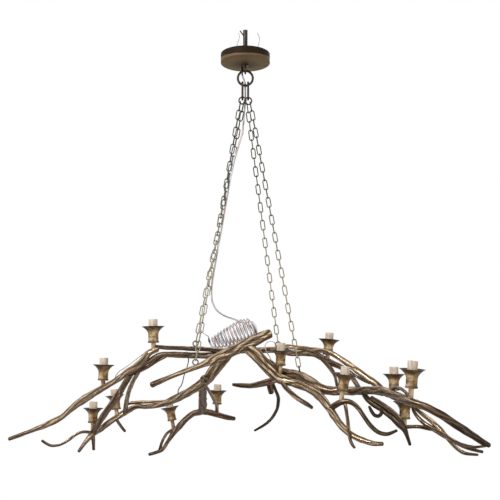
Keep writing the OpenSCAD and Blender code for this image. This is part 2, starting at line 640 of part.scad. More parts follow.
module canopy() {
    hole_r = stud_d / 2 + fit;
    outer = [for (k = [0 : dome_steps]) [dome_r(k / dome_steps), dome_z(k / dome_steps)]];
    inner = [for (k = [dome_steps : -1 : 0])
        [dome_r(k / dome_steps) - canopy_wall, dome_z(k / dome_steps) + canopy_wall]];
    color(brown_bronze) difference() {
        rotate_extrude() polygon(concat(
            [[canopy_d / 2, 0]], outer,
            [[hole_r, canopy_bottom], [hole_r, canopy_bottom + canopy_wall]],
            inner, [[canopy_d / 2 - canopy_wall, 0]]
        ));
        translate([cord_hole[0], cord_hole[1], canopy_bottom - cut])
            cylinder(d = cord_d + cord_hole_play, h = 2 * canopy_wall + 2 * cut);
    }
}

module ceiling_stem() {
    foot = canopy_bottom - collar_h * stud_grip;
    color(black_steel) {
        translate([0, 0, foot]) cylinder(d = stud_d, h = stud_h - foot);
        translate([pin_d - stud_d / 2, 0, stud_h - pin_drop]) rotate([0, -pin_tilt, 0])
            cylinder(d = pin_d, h = pin_l, $fn = wire_facets);
    }
}

module hex_nut(z) {
    translate([0, 0, z]) difference() {
        cylinder(d = nut_d, h = nut_h, $fn = 6);
        translate([0, 0, -cut]) cylinder(d = stud_d + fit, h = nut_h + 2 * cut);
    }
}

module stem_nuts() {
    color(steel) {
        hex_nut(canopy_bottom + canopy_wall);
        hex_nut(-nut_h - strap_t);
        hex_nut(0);
    }
}

module ceiling_strap() {
    color(steel) translate([0, 0, -strap_t]) difference() {
        linear_extrude(strap_t) square([strap_l, strap_w], center = true);
        translate([0, 0, -cut]) cylinder(d = stud_d + fit, h = strap_t + 2 * cut);
        for (side = [1, -1])
            translate([side * strap_holes / 2, 0, -cut]) cylinder(d = strap_hole_d, h = strap_t + 2 * cut);
    }
}

module ceiling_loop() {
    color(brown_bronze) {
        difference() {
            translate([0, 0, canopy_bottom - collar_h]) cylinder(d = collar_d, h = collar_h);
            translate([0, 0, canopy_bottom - collar_h * stud_grip - fit])
                cylinder(d = stud_d + fit, h = collar_h);
        }
        translate([0, 0, loop_mid]) rotate([0, 0, 90]) wire_ring(loop_hole + 2 * loop_wire, loop_wire);
    }
}

module large_ring() {
    color(black_steel) translate([0, 0, ring_mid]) wire_ring(ring_d, ring_wire);
}

module hub_links() {
    color(black_steel) for (side = [1, -1])
        translate([side * hub_pitch / 2, 0, hub_link_mid]) rotate([0, 0, 90])
            oval_link(hub_link_l, hub_link_w, hub_link_wire);
}

module hub_rings() {
    color(dark_bronze) for (side = [1, -1])
        translate(hub_ring_at(side)) wire_ring(hub_ring_d, hub_ring_wire);
}

module chain_front_left() { color(brass_chain) chain(chain_front_left_run); }
module chain_back_left() { color(brass_chain) chain(chain_back_left_run); }
module chain_back_right() { color(brass_chain) chain(chain_back_right_run); }
module chain_front_right() { color(brass_chain) chain(chain_front_right_run); }

module chain_eyes() {
    color(dark_bronze) {
        chain_eye(chain_front_left_run);
        chain_eye(chain_back_left_run);
        chain_eye(chain_back_right_run);
        chain_eye(chain_front_right_run);
    }
}

// ---- Cords ----

cord_by_ring = (ring_wire + cord_d) / 2 + gap;      // how far behind the ring's middle the cord runs
coil_left = placed(coil_left_drawn);
coil_right = placed(coil_right_drawn);
// Outline of the coil: share of its length, and radius.
coil_outline = [
    [0, 12], [0.08, 17], [0.2, 22], [0.35, 27], [0.5, 30], [0.65, 33], [0.78, 34], [0.9, 30],
    [0.97, 23], [1, 16]
];

module canopy_cord() {
    color(clear_cord) cord([
        [cord_hole[0], cord_hole[1], canopy_bottom + 8],
        [cord_hole[0], cord_hole[1], canopy_bottom - 8],
        [cord_hole[0], cord_hole[1] - 4, loop_bar + 4]
    ], cord_d, 2);
}

module ring_cord() {
    color(clear_cord) cord([
        [cord_hole[0], cord_by_ring + 2, loop_bar - 1],
        [cord_hole[0] * 0.9, cord_by_ring, loop_bar - 9],
        [cord_hole[0] * 0.4, cord_by_ring, ring_mid],
        [0, cord_by_ring, ring_bottom_bar + 12],
        [0, cord_by_ring, ring_bottom_bar + 2]
    ], cord_d, 2);
}

module supply_cord() { color(clear_cord) cord(supply_route, cord_d, 2); }

module cord_coil() {
    length = norm(spot(coil_right) - spot(coil_left));
    color(clear_cord) stand(spot(coil_left), spot(coil_right) - spot(coil_left)) rotate_extrude()
        polygon(concat([[0, 0]], [for (p = coil_outline) [p[1], p[0] * length]], [[0, length]]));
}

module coil_lead() { color(clear_cord) cord(coil_lead_route, lead_d, 2); }
module drop_lead() { color(black_steel) cord(drop_lead_route, lead_d, 1); }
module branch_lead() { color(clear_cord) cord(branch_lead_route, lead_d, 2); }
module curl_lead() { color(clear_cord) cord(curl_lead_route, lead_d, 2); }

module ceiling_tails() {
    color(clear_cord) {
        cord(tail_left_route, lead_d, 2);
        cord(tail_right_route, lead_d, 2);
    }
}

// ---- Branches ----

module trunk() { color(gilt) branch(trunk_line, 10); }
module front_branch() { color(gilt) branch(front_line, 10); }
module front_right_branch() { color(dark_bronze) branch(front_right_line, 10); }
module back_branch() { color(brown_bronze) branch(back_line); }
module back_left_branch() { color(gilt) branch(back_left_line); }
module back_right_branch() { color(pale_gilt) branch(back_right_line); }
module outer_left_branch() { color(gilt) branch(outer_left_line, 10); }
module low_left_branch() { color(brown_bronze) branch(low_left_line, 10); }
module steep_left_branch() { color(brown_bronze) branch(steep_left_line, 8, 3); }
module pale_left_branch() { color(pale_gilt) branch(pale_left_line, 8, 3); }
module drop_branch() { color(brown_bronze) branch(drop_line); }
module dark_right_branch() { color(dark_bronze) branch(dark_right_line); }
module far_right_branch() { color(brown_bronze) branch(far_right_line); }
module s_branch() { color(dark_bronze) branch(s_line); }

module left_twigs() {
    color(brown_bronze) {
        branch(wavy_twig);
        branch(spur_twig);
        branch(arc_twig);
        branch(inner_twig);
        branch(fork_twig);
    }
}

module left_sprigs() {
    color(gilt) {
        branch(end_twig);
        branch(split_twig);
        branch(brace_left_twig, 8, 3);
        branch(knot_stub);
    }
}

module right_twigs() {
    color(pale_gilt) {
        branch(tusk_twig);
        branch(stick_twig);
        branch(thin_drop_twig);
        branch(brace_twig);
        branch(brace_right_twig);
        branch(low_right_twig);
    }
}

module right_sprigs() {
    color(brown_bronze) {
        branch(stub_twig);
        branch(twin_twig);
        branch(dark_strand_twig);
        branch(short_right_twig);
    }
}

module hook_twigs() {
    color(dark_bronze) {
        branch(curl_twig);
        branch(hook_twig);
    }
}

canopy();
ceiling_stem();
stem_nuts();
ceiling_strap();
ceiling_loop();
ceiling_tails();
canopy_cord();
large_ring();
ring_cord();
hub_links();
hub_rings();
chain_front_left();
chain_back_left();
chain_back_right();
chain_front_right();
chain_eyes();
supply_cord();
cord_coil();
coil_lead();
drop_lead();
branch_lead();
curl_lead();
trunk();
front_branch();
front_right_branch();
back_branch();
back_left_branch();
back_right_branch();
outer_left_branch();
low_left_branch();
steep_left_branch();
pale_left_branch();
drop_branch();
dark_right_branch();
far_right_branch();
s_branch();
left_twigs();
left_sprigs();
right_twigs();
right_sprigs();
hook_twigs();
cup_1();
cup_2();
cup_3();
cup_4();
cup_5();
cup_6();
cup_7();
cup_8();
cup_9();
cup_10();
cup_11();
cup_12();
left_stems();
right_stems();
left_lampholders();
right_lampholders();
left_sleeves();
right_sleeves();
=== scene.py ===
"""Looks of the branch chandelier: gilt bronze branches, cups, candles, chains and flex.

Everything is in metres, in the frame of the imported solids: +Z up, the viewer at -Y, and the
origin on the hanging axis, level with the canopy's upper edge.
"""

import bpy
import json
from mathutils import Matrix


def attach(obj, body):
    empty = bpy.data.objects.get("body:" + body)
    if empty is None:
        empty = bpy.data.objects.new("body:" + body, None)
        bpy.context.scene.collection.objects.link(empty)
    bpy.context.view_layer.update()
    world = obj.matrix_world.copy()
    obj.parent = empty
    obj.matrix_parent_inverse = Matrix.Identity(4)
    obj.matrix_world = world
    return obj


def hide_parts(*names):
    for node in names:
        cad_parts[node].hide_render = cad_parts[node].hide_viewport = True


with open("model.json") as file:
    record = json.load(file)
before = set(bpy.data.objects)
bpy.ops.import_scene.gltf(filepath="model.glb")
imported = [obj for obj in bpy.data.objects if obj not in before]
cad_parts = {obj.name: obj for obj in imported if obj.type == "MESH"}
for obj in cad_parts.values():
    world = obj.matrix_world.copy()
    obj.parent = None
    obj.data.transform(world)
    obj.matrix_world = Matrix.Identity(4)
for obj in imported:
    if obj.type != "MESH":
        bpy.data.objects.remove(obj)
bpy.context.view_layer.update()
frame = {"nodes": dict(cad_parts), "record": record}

import json
import logging
import math
from dataclasses import dataclass, field
from enum import Enum
from typing import Any, Sequence

import bpy
import numpy as np
from mathutils import Vector

log = logging.getLogger("branch_chandelier")

Colour = tuple[float, float, float]
Band = tuple[float, float]
Drawn = Sequence[Sequence[float]]

MM = 0.001
FULL_TURN = 2 * math.pi
DOWN = (0, 0, -1)
# Side towards which surfaces get painted highlight: up and to the front
PAINTED_LIGHT_SIDE = (-0.25, -0.73, 0.64)
WHITE = (1.0, 1.0, 1.0)


def paint(red: int, green: int, blue: int) -> Colour:
    """Turns a colour of 0 to 255 on a screen into the linear colour that a shader takes.

    A share v up to 0.04045 gives v / 12.92, and a larger one ((v + 0.055) / 1.055) ** 2.4.

    Args:
        red: Red on the screen.
        green: Green on the screen.
        blue: Blue on the screen.

    Returns:
        The linear colour.
    """
    shares = [value / 255 for value in (red, green, blue)]
    return tuple(v / 12.92 if v <= 0.04045 else ((v + 0.055) / 1.055) ** 2.4 for v in shares)


def ease(value: np.ndarray) -> np.ndarray:
    """Smooth step: t * t * (3 - 2 t), with t held between 0 and 1."""
    t = np.clip(value, 0, 1)
    return t * t * (3 - 2 * t)


# ---- Shaders ----


class Socket:
    """Output of a shader node. A sum that is written on it adds its Math nodes."""

    def __init__(self, nodes: "Nodes", output: bpy.types.NodeSocket | None) -> None:
        """Keeps the nodes that the output belongs to, and the output, which a closing node doesn't have."""
        self.nodes = nodes
        self.output = output

    def _sum(self, operation: str, first: Any, second: Any) -> "Socket":
        """Adds one Math node and returns its output."""
        return self.nodes.add("ShaderNodeMath", {"operation": operation}, {0: first, 1: second})

    def __add__(self, other: Any) -> "Socket":
        """self + other."""
        return self._sum("ADD", self, other)

    __radd__ = __add__

    def __sub__(self, other: Any) -> "Socket":
        """self - other."""
        return self._sum("SUBTRACT", self, other)

    def __rsub__(self, other: Any) -> "Socket":
        """other - self."""
        return self._sum("SUBTRACT", other, self)

    def __mul__(self, other: Any) -> "Socket":
        """self * other."""
        return self._sum("MULTIPLY", self, other)

    __rmul__ = __mul__

    def maximum(self, other: Any) -> "Socket":
        """The larger of self and other."""
        return self._sum("MAXIMUM", self, other)

    def sine(self) -> "Socket":
        """Sine of self, in radians."""
        return self._sum("SINE", self, 0.0)

    def swing(self, amount: float) -> "Socket":
        """How far a noise is from its mean of 0.5, times an amount."""
        return (self - 0.5) * amount

    def between(self, low: float, high: float) -> "Socket":
        """0 below low, 1 above high, and a smooth step from one to the other.

        Args:
            low: Value that gives 0.
            high: Value that gives 1.

        Returns:
            The stepped value.
        """
        return self.nodes.add(
            "ShaderNodeMapRange",
            {"interpolation_type": "SMOOTHSTEP"},
            {"Value": self, "From Min": low, "From Max": high},
        )


class Nodes:
    """A node tree that is written down as expressions."""

    def __init__(self, tree: bpy.types.NodeTree) -> None:
        """Empties a tree and keeps it."""
        self.tree = tree
        self.tree.nodes.clear()

    def add(
        self,
        kind: str,
        settings: dict[str, Any] | None = None,
        sockets: dict[str | int, Any] | None = None,
        output: str | int = 0,
    ) -> Socket:
        """Adds one node.

        Args:
            kind: Blender's type of the node.
            settings: Its settings, which are set first.
            sockets: Values or links of its inputs, by name or number.
            output: Which output comes back.

        Returns:
            The chosen output.
        """
        node = self.tree.nodes.new(kind)
        for key, value in (settings or {}).items():
            setattr(node, key, value)
        for key, value in (sockets or {}).items():
            socket = node.inputs[key]
            if isinstance(value, Socket):
                self.tree.links.new(value.output, socket)
            elif isinstance(value, (tuple, list)) and socket.type == "RGBA":
                socket.default_value = (*value, 1.0)
            else:
                socket.default_value = value
        return Socket(self, node.outputs[output] if node.outputs else None)

    def shown(self) -> Socket:
        """Parts what is seen, mirrored or seen through glass from what only gives light.

        Returns:
            1 where it is seen, and 0 where it only gives light.
        """
        seen = self.add("ShaderNodeLightPath", output="Is Camera Ray")
        for way in ("Is Glossy Ray", "Is Transmission Ray"):
            seen = seen.maximum(self.add("ShaderNodeLightPath", output=way))
        return seen


class Shader(Nodes):
    """A node material that is written down as expressions."""

    def __init__(self, name: str) -> None:
        """Starts an empty material.

        Args:
            name: The material's name.
        """
        self.material = bpy.data.materials.new(name)
        self.material.use_nodes = True
        super().__init__(self.material.node_tree)

    def place(self) -> Socket:
        """Object coordinates, in metres."""
        return self.add("ShaderNodeTexCoord", output="Object")

    def mark(self, name: str, vector: bool = False) -> Socket:
        """Reads a value or a vector that is kept at the piece's own points.

        Args:
            name: Name of the attribute.
            vector: Whether it is a vector.

        Returns:
            The attribute.
        """
        return self.add("ShaderNodeAttribute", {"attribute_name": name}, output="Vector" if vector else "Fac")

    def painted_light_facing(self) -> Socket:
        """How far the surface faces up and to the front, the side that is painted lighter as if lit: -1 to 1.
        """
        normal = self.add("ShaderNodeNewGeometry", output="Normal")
        return self.along(normal, PAINTED_LIGHT_SIDE)

    def stretched(self, vector: Socket, x: float, y: float, z: float) -> Socket:
        """Multiplies a vector by x, y and z."""
        return self.add("ShaderNodeVectorMath", {"operation": "MULTIPLY"}, {0: vector, 1: (x, y, z)})

    def along(self, vector: Socket, axis: Sequence[float]) -> Socket:
        """Dot product of a vector with an axis."""
        settings = {"operation": "DOT_PRODUCT"}
        return self.add("ShaderNodeVectorMath", settings, {0: vector, 1: tuple(axis)}, output="Value")

    def off_axis(self, vector: Socket) -> Socket:
        """Distance of a place from the upright axis."""
        flat = self.stretched(vector, 1, 1, 0)
        return self.add("ShaderNodeVectorMath", {"operation": "LENGTH"}, {0: flat}, output="Value")

    def noise(self, vector: Socket, clouds: "Clouds") -> Socket:
        """Cloudy noise from about 0.3 to 0.7.

        Args:
            vector: Where it is read.
            clouds: Its size and kind.

        Returns:
            The noise's value.
        """
        if clouds.squeeze:
            vector = self.stretched(vector, *clouds.squeeze)
        size = {"Scale": clouds.scale, "Detail": clouds.detail, "Roughness": clouds.rough}
        return self.add("ShaderNodeTexNoise", {"noise_dimensions": "3D"}, {"Vector": vector, **size})

    def mix(self, share: Any, first: Any, second: Any) -> Socket:
        """Mixes two colours.

        Args:
            share: 0 gives the first and 1 the second.
            first: Colour or socket.
            second: Colour or socket.

        Returns:
            The mixed colour.
        """
        return self.add("ShaderNodeMix", {"data_type": "RGBA"}, {0: share, 6: first, 7: second}, output=2)

    def bump(self, height: Socket, strength: float, depth: float) -> Socket:
        """Normal of a surface with that relief.

        Args:
            height: Relief, from 0 to 1.
            strength: How much of it shows.
            depth: Depth of the relief in metres.

        Returns:
            The normal.
        """
        return self.add("ShaderNodeBump", {}, {"Strength": strength, "Distance": depth, "Height": height})

    def finish(self, **sockets: Any) -> bpy.types.Material:
        """Closes the material with one surface shader.

        Args:
            **sockets: The shader's inputs, with spaces in their names written as underscores.

        Returns:
            The finished material.
        """
        named = {key.replace("_", " "): value for key, value in sockets.items()}
        shader = self.add("ShaderNodeBsdfPrincipled", {}, named)
        self.add("ShaderNodeOutputMaterial", {}, {"Surface": shader})
        return self.material


@dataclass(frozen=True)
class Clouds:
    """One noise: clouds in a metre, finer layers, their strength, and what each axis is multiplied by."""

    scale: float
    detail: float = 3.0
    rough: float = 0.55
    squeeze: tuple[float, float, float] | None = None


@dataclass(frozen=True)
class BarkFinish:
    """Aged bronze bark: dark in its furrows, brown, red and olive on its body, gilt on its ridges, with
    painted highlight added to the gilt on the side that faces up and to the front.
    """

    name: str
    furrow: Colour
    body: Colour
    red: Colour
    olive: Colour
    # Colour of the gilt wear on the ridges, which also serves as the painted highlight
    ridge: Colour
    gilt: float
    metal: float = 0.3
    rough: float = 0.4
    edge: Colour = paint(150, 132, 116)
    streaks: Clouds = Clouds(420, 4.0, 0.6, (1, 1, 0.14))
    speckle: Clouds = Clouds(900, 2.0, 0.6)
    broad: Clouds = Clouds(21, 3.0, 0.6)
    other: Clouds = Clouds(34, 2.0, 0.5, (1.3, 0.9, 1.1))
    red_band: Band = (0.5, 0.66)
    olive_band: Band = (0.52, 0.66)
    dark_band: Band = (0.42, 0.9)
    dark_share: float = 0.9
    # Ridge heights where the gilt wear and the painted highlight show
    wear_and_highlight_band: Band = (1.16, 1.46)
    relief_depth: float = 0.0011

    def material(self) -> bpy.types.Material:
        """Builds the material from the straightened-branch coordinates of each piece.

        Returns:
            The material.
        """
        shader = Shader(self.name)
        grain = shader.mark("grain", vector=True)
        furrow = shader.mark("furrow")
        place = shader.place()
        streaks = shader.noise(grain, self.streaks)
        speckle = shader.noise(grain, self.speckle)
        broad = shader.noise(place, self.broad)
        other = shader.noise(place, self.other)
        colour = shader.mix(broad.between(*self.red_band), self.body, self.red)
        colour = shader.mix(other.between(*self.olive_band), colour, self.olive)
        dark = (furrow + streaks.swing(1.2) + speckle.swing(0.5)).between(*self.dark_band)
        colour = shader.mix(dark * self.dark_share, colour, self.furrow)
        # Ridge height for the gilt wear, with painted highlight added on the side that faces up and to the
        # front
        ridge = (1 - furrow) + streaks.swing(1.1) + broad.swing(0.8) + shader.painted_light_facing() * 0.3
        wear_and_highlight = ridge.between(*(level - self.gilt / 2 for level in self.wear_and_highlight_band))
        colour = shader.mix(wear_and_highlight, colour, self.ridge)
        return shader.finish(
            Base_Color=colour,
            Metallic=self.metal + 0.4 * wear_and_highlight,
            Roughness=self.rough + speckle.swing(0.25) - wear_and_highlight * 0.12 + dark * 0.15,
            Specular_IOR_Level=0.3,
            Specular_Tint=self.edge,
            Normal=shader.bump(streaks * 0.7 + speckle * 0.3, 0.55, self.relief_depth),
        )


@dataclass(frozen=True)
class CupFinish:
    """Aged gilt cup: brown body, dark lip, neck and hem, painted shade under the lip, painted highlight on
    the side that faces up and to the front, fine scratches.

    The bands are heights above the cup's foot, in metres.
    """

    name: str
    body: Colour = paint(128, 96, 62)
    pale: Colour = paint(214, 186, 142)
    dark: Colour = paint(46, 37, 30)
    red: Colour = paint(124, 82, 52)
    edge: Colour = paint(110, 84, 64)
    # Colour of the painted highlight
    painted_highlight_colour: Colour = paint(240, 222, 184)
    clouds: Clouds = Clouds(60, 4.0, 0.6)
    patches: Clouds = Clouds(26, 2.0, 0.5)
    grit: Clouds = Clouds(900, 3.0, 0.6)
    pale_band: Band = (0.42, 0.68)
    red_band: Band = (0.55, 0.7)
    lip_band: Band = (0.0392, 0.0412)
    # Heights of the painted shade under the flared lip
    shade_under_lip_band: Band = (0.026, 0.038)
    neck_start_band: Band = (0.01023, 0.01562)
    neck_end_band: Band = (0.01562, 0.02177)
    hem_band: Band = (0.004, 0.007)
    # Where the painted highlight shows, by how far the surface faces up and to the front
    painted_highlight_band: Band = (0.62, 0.94)
    relief_depth: float = 0.0006

    def material(self, foot: Sequence[float], axis: Sequence[float]) -> bpy.types.Material:
        """Builds the material for a cup that stands at a foot and points along an axis.

        Args:
            foot: Middle of the cup's foot.
            axis: Direction from its foot to its rim.

        Returns:
            The material.
        """
        shader = Shader(self.name)
        place = shader.place()
        height = shader.along(place, axis) - float(np.dot(foot, axis))
        clouds = shader.noise(place, self.clouds)
        patches = shader.noise(place, self.patches)
        grit = shader.noise(place, self.grit)
        colour = shader.mix(clouds.between(*self.pale_band), self.body, self.pale)
        colour = shader.mix(patches.between(*self.red_band) * 0.7, colour, self.red)
        lip = (height + clouds.swing(0.003)).between(*self.lip_band)
        hem = 1 - (height + clouds.swing(0.003)).between(*self.hem_band)
        # Painted shade under the flared lip
        under = (height + clouds.swing(0.006)).between(*self.shade_under_lip_band)
        neck = (1 - height.between(*self.neck_end_band)) * height.between(*self.neck_start_band)
        # Painted highlight on the side that faces up and to the front, kept off the painted shade under the
        # lip
        painted_highlight = shader.painted_light_facing().between(*self.painted_highlight_band) * (1 - under)
        colour = shader.mix(painted_highlight * 0.75, colour, self.painted_highlight_colour)
        # Darker at the lip, the neck and the hem, and painted shade under the lip
        shade = lip.maximum(hem * 0.75).maximum(neck * 0.45).maximum(under * 0.8)
        colour = shader.mix(shade * 0.85, colour, self.dark)
        return shader.finish(
            Base_Color=colour,
            Metallic=0.3 + 0.3 * painted_highlight,
            Roughness=0.3 + clouds.swing(0.45) + shade * 0.14,
            Specular_IOR_Level=0.35,
            Specular_Tint=self.edge,
            Normal=shader.bump(grit * 0.5 + clouds * 0.5, 0.3, self.relief_depth),
        )


@dataclass(frozen=True)
class MetalFinish:
    """Plain aged metal: two tones in clouds, darker specks and a fine grain."""

    name: str
    first: Colour
    second: Colour
    specks: Colour
    metal: float
    rough: float
    clouds: Clouds = Clouds(45, 4.0, 0.6)
    fine: Clouds = Clouds(1100, 2.0, 0.6)
    spots: Clouds = Clouds(225, 3.0, 0.6)
    second_band: Band = (0.38, 0.64)
    speck_band: Band = (0.56, 0.7)
    relief_depth: float = 0.0005

    def material(self) -> bpy.types.Material:
        """Builds the material.

        Returns:
            The material.
        """
        shader = Shader(self.name)
        place = shader.place()
        clouds = shader.noise(place, self.clouds)
        fine = shader.noise(place, self.fine)
        spots = shader.noise(place, self.spots)
        colour = shader.mix(clouds.between(*self.second_band), self.first, self.second)
        colour = shader.mix(spots.between(*self.speck_band) * 0.7, colour, self.specks)
        return shader.finish(
            Base_Color=colour,
            Metallic=self.metal,
            Roughness=self.rough + clouds.swing(0.4) + fine.swing(0.15),
            Normal=shader.bump(fine * 0.5 + spots * 0.5, 0.3, self.relief_depth),
        )


@dataclass(frozen=True)
class ChainFinish:
    """Chain of aged brass that is dark near the hub and pale lower down, by its drop from the ceiling."""

    name: str = "chain brass"
    upper: Colour = paint(62, 60, 48)
    lower: Colour = paint(156, 148, 126)
    shade: Colour = paint(66, 58, 44)
    clouds: Clouds = Clouds(70, 4.0, 0.6)
    fine: Clouds = Clouds(1300, 2.0, 0.5)
    turn_band: Band = (0.30, 0.68)
    shade_band: Band = (0.5, 0.68)
    relief_depth: float = 0.0004

    def material(self) -> bpy.types.Material:
        """Builds the material, in which the drop below the ceiling picks the tone.

        Returns:
            The material.
        """
        shader = Shader(self.name)
        place = shader.place()
        clouds = shader.noise(place, self.clouds)
        fine = shader.noise(place, self.fine)
        low = (shader.along(place, DOWN) + clouds.swing(0.12)).between(*self.turn_band)
        colour = shader.mix(low, self.upper, self.lower)
        colour = shader.mix(clouds.between(*self.shade_band) * 0.75, colour, self.shade)
        return shader.finish(
            Base_Color=colour,
            Metallic=0.45,
            Roughness=0.34 + clouds.swing(0.5) + fine.swing(0.1),
            Specular_IOR_Level=0.2,
            Normal=shader.bump(fine * 0.6 + clouds * 0.4, 0.25, self.relief_depth),
        )


@dataclass(frozen=True)
class CanopyFinish:
    """Matte brown bronze dome under an upright rim darkened nearly to black by painted shade, darker round
    its middle.
    """

    name: str = "canopy bronze"
    dome: Colour = paint(112, 92, 64)
    olive: Colour = paint(104, 92, 60)
    red: Colour = paint(122, 86, 70)
    rim: Colour = paint(30, 22, 14)
    broad: Clouds = Clouds(24, 3.0, 0.55)
    other: Clouds = Clouds(40, 3.0, 0.5, (1, 1, 0.3))
    fine: Clouds = Clouds(700, 3.0, 0.6, (1, 1, 0.2))
    olive_band: Band = (0.42, 0.62)
    red_band: Band = (0.52, 0.68)
    # Painted shade on the upright rim, down to about this drop below the upper edge, deeper at the front and
    # back by the slant
    rim_shade_band: Band = (0.010, 0.0125)
    rim_shade_slant: float = 0.13
    middle_band: Band = (0.012, 0.05)
    relief_depth: float = 0.0004

    def material(self) -> bpy.types.Material:
        """Builds the material, in which the drop below the ceiling parts the rim from the dome.

        Returns:
            The material.
        """
        shader = Shader(self.name)
        place = shader.place()
        drop = shader.along(place, DOWN)
        broad = shader.noise(place, self.broad)
        other = shader.noise(place, self.other)
        fine = shader.noise(place, self.fine)
        colour = shader.mix(broad.between(*self.olive_band), self.dome, self.olive)
        colour = shader.mix(other.between(*self.red_band) * 0.8, colour, self.red)
        # Painted shade on the upright rim, reaching further down at the front and the back than at the sides
        depth = shader.along(place, (0, 1, 0))
        level = drop - depth.maximum(depth * -1) * self.rim_shade_slant + other.swing(0.004)
        rim = 1 - level.between(*self.rim_shade_band)
        middle = 1 - shader.off_axis(place).between(*self.middle_band)
        colour = shader.mix(middle * 0.45, colour, self.rim)
        colour = shader.mix(rim * 0.95, colour, self.rim)
        return shader.finish(
            Base_Color=colour,
            Metallic=0.15 * (1 - rim),
            Roughness=0.6 + broad.swing(0.3) + fine.swing(0.15),
            Specular_IOR_Level=0.08,
            Normal=shader.bump(fine, 0.25, self.relief_depth),
        )


@dataclass(frozen=True)
class CandleFinish:
    """Cream card sleeve with soft streaks of wax."""

    name: str = "candle cream"
    cream: Colour = paint(236, 221, 199)
    pink: Colour = paint(216, 192, 172)
    grey: Colour = paint(186, 166, 146)
    streaks: Clouds = Clouds(190, 3.0, 0.55, (1, 1, 0.16))
    clouds: Clouds = Clouds(50, 3.0, 0.5)
    fibre: Clouds = Clouds(1500, 2.0, 0.5)
    pink_band: Band = (0.4, 0.64)
    grey_band: Band = (0.52, 0.7)
    relief_depth: float = 0.0006

    def material(self) -> bpy.types.Material:
        """Builds the material.

        Returns:
            The material.
        """
        shader = Shader(self.name)
        place = shader.place()
        streaks = shader.noise(place, self.streaks)
        clouds = shader.noise(place, self.clouds)
        fibre = shader.noise(place, self.fibre)
        colour = shader.mix(streaks.between(*self.pink_band), self.cream, self.pink)
        colour = shader.mix(clouds.between(*self.grey_band) * 0.6, colour, self.grey)
        return shader.finish(
            Base_Color=colour,
            Roughness=0.42 + fibre.swing(0.3),
            Coat_Weight=0.15,
            Coat_Roughness=0.3,
            Normal=shader.bump(streaks * 0.7 + fibre * 0.3, 0.35, self.relief_depth),
        )


@dataclass(frozen=True)
class HolderFinish:
    """White lampholder that is dusty and a little yellowed."""

    name: str = "lampholder white"
    white: Colour = paint(228, 224, 212)
    dusty: Colour = paint(186, 176, 156)
    clouds: Clouds = Clouds(120, 4.0, 0.6)
    dusty_band: Band = (0.45, 0.7)
    relief_depth: float = 0.0003

    def material(self) -> bpy.types.Material:
        """Builds the material.

        Returns:
            The material.
        """
        shader = Shader(self.name)
        clouds = shader.noise(shader.place(), self.clouds)
        colour = shader.mix(clouds.between(*self.dusty_band), self.white, self.dusty)
        return shader.finish(
            Base_Color=colour,
            Roughness=0.35 + clouds.swing(0.4),
            Normal=shader.bump(clouds, 0.15, self.relief_depth),
        )


@dataclass(frozen=True)
class FlexFinish:
    """Insulated flex: two cores that turn slowly inside a glossy sheath, one of them tinted."""

    name: str
    core: Colour
    between: Colour
    tint: Colour
    lay: float
    gloss: float
    clouds: Clouds = Clouds(55, 3.0, 0.5)
    tint_band: Band = (-0.1, 0.6)
    between_band: Band = (0.1, 0.5)
    relief_depth: float = 0.0006

    def material(self) -> bpy.types.Material:
        """Builds the material.

        The tinted core lies where sin(angle + turns of the length) is high, the other one opposite, and the
        stripe between them where the sine of twice that angle is low.

        Returns:
            The material.
        """
        shader = Shader(self.name)
        grain = shader.mark("grain", vector=True)
        cosine, sine, length = (shader.along(grain, axis) for axis in ((1, 0, 0), (0, 1, 0), (0, 0, 1)))
        angle = shader.add("ShaderNodeMath", {"operation": "ARCTAN2"}, {0: sine, 1: cosine})
        turned = angle + length * (FULL_TURN / self.lay)
        stripe = (turned * 2).sine() * 0.5 + 0.5
        clouds = shader.noise(shader.place(), self.clouds)
        tinted = (turned.sine() + clouds.swing(1)).between(*self.tint_band)
        colour = shader.mix(tinted * 0.75, self.core, self.tint)
        colour = shader.mix(1 - stripe.between(*self.between_band), colour, self.between)
        return shader.finish(
            Base_Color=colour,
            Metallic=0.0,
            Roughness=self.gloss + clouds.swing(0.15),
            Coat_Weight=0.7,
            Coat_Roughness=0.12,
            Normal=shader.bump(stripe, 0.35, self.relief_depth),
        )


MID_BRONZE = BarkFinish(
    "bark mid bronze", paint(43, 33, 26), paint(129, 107, 84), paint(121, 86, 67), paint(110, 98, 75),
    paint(211, 190, 160), 0.62,
)
PALE_BRONZE = BarkFinish(
    "bark pale bronze", paint(47, 36, 28), paint(139, 119, 95), paint(130, 98, 78), paint(118, 107, 83),
    paint(221, 202, 173), 0.68,
)
BROWN_BRONZE = BarkFinish(
    "bark brown bronze", paint(34, 26, 20), paint(107, 87, 69), paint(107, 72, 57), paint(93, 82, 62),
    paint(190, 167, 139), 0.48,
)
DARK_BRONZE = BarkFinish(
    "bark dark bronze", paint(24, 19, 15), paint(75, 63, 50), paint(78, 55, 43), paint(67, 60, 47),
    paint(154, 135, 111), 0.34, 0.2, 0.5,
)

CLEAR_FLEX = FlexFinish(
    "flex clear", paint(234, 234, 239), paint(160, 156, 161), paint(206, 162, 140), 0.19, 0.2
)
PALE_WIRE = FlexFinish(
    "wire pale", paint(222, 222, 218), paint(176, 174, 170), paint(206, 200, 192), 0.05, 0.3
)
BLACK_WIRE = FlexFinish("wire black", paint(34, 32, 32), paint(22, 21, 21), paint(44, 38, 34), 0.05, 0.34)

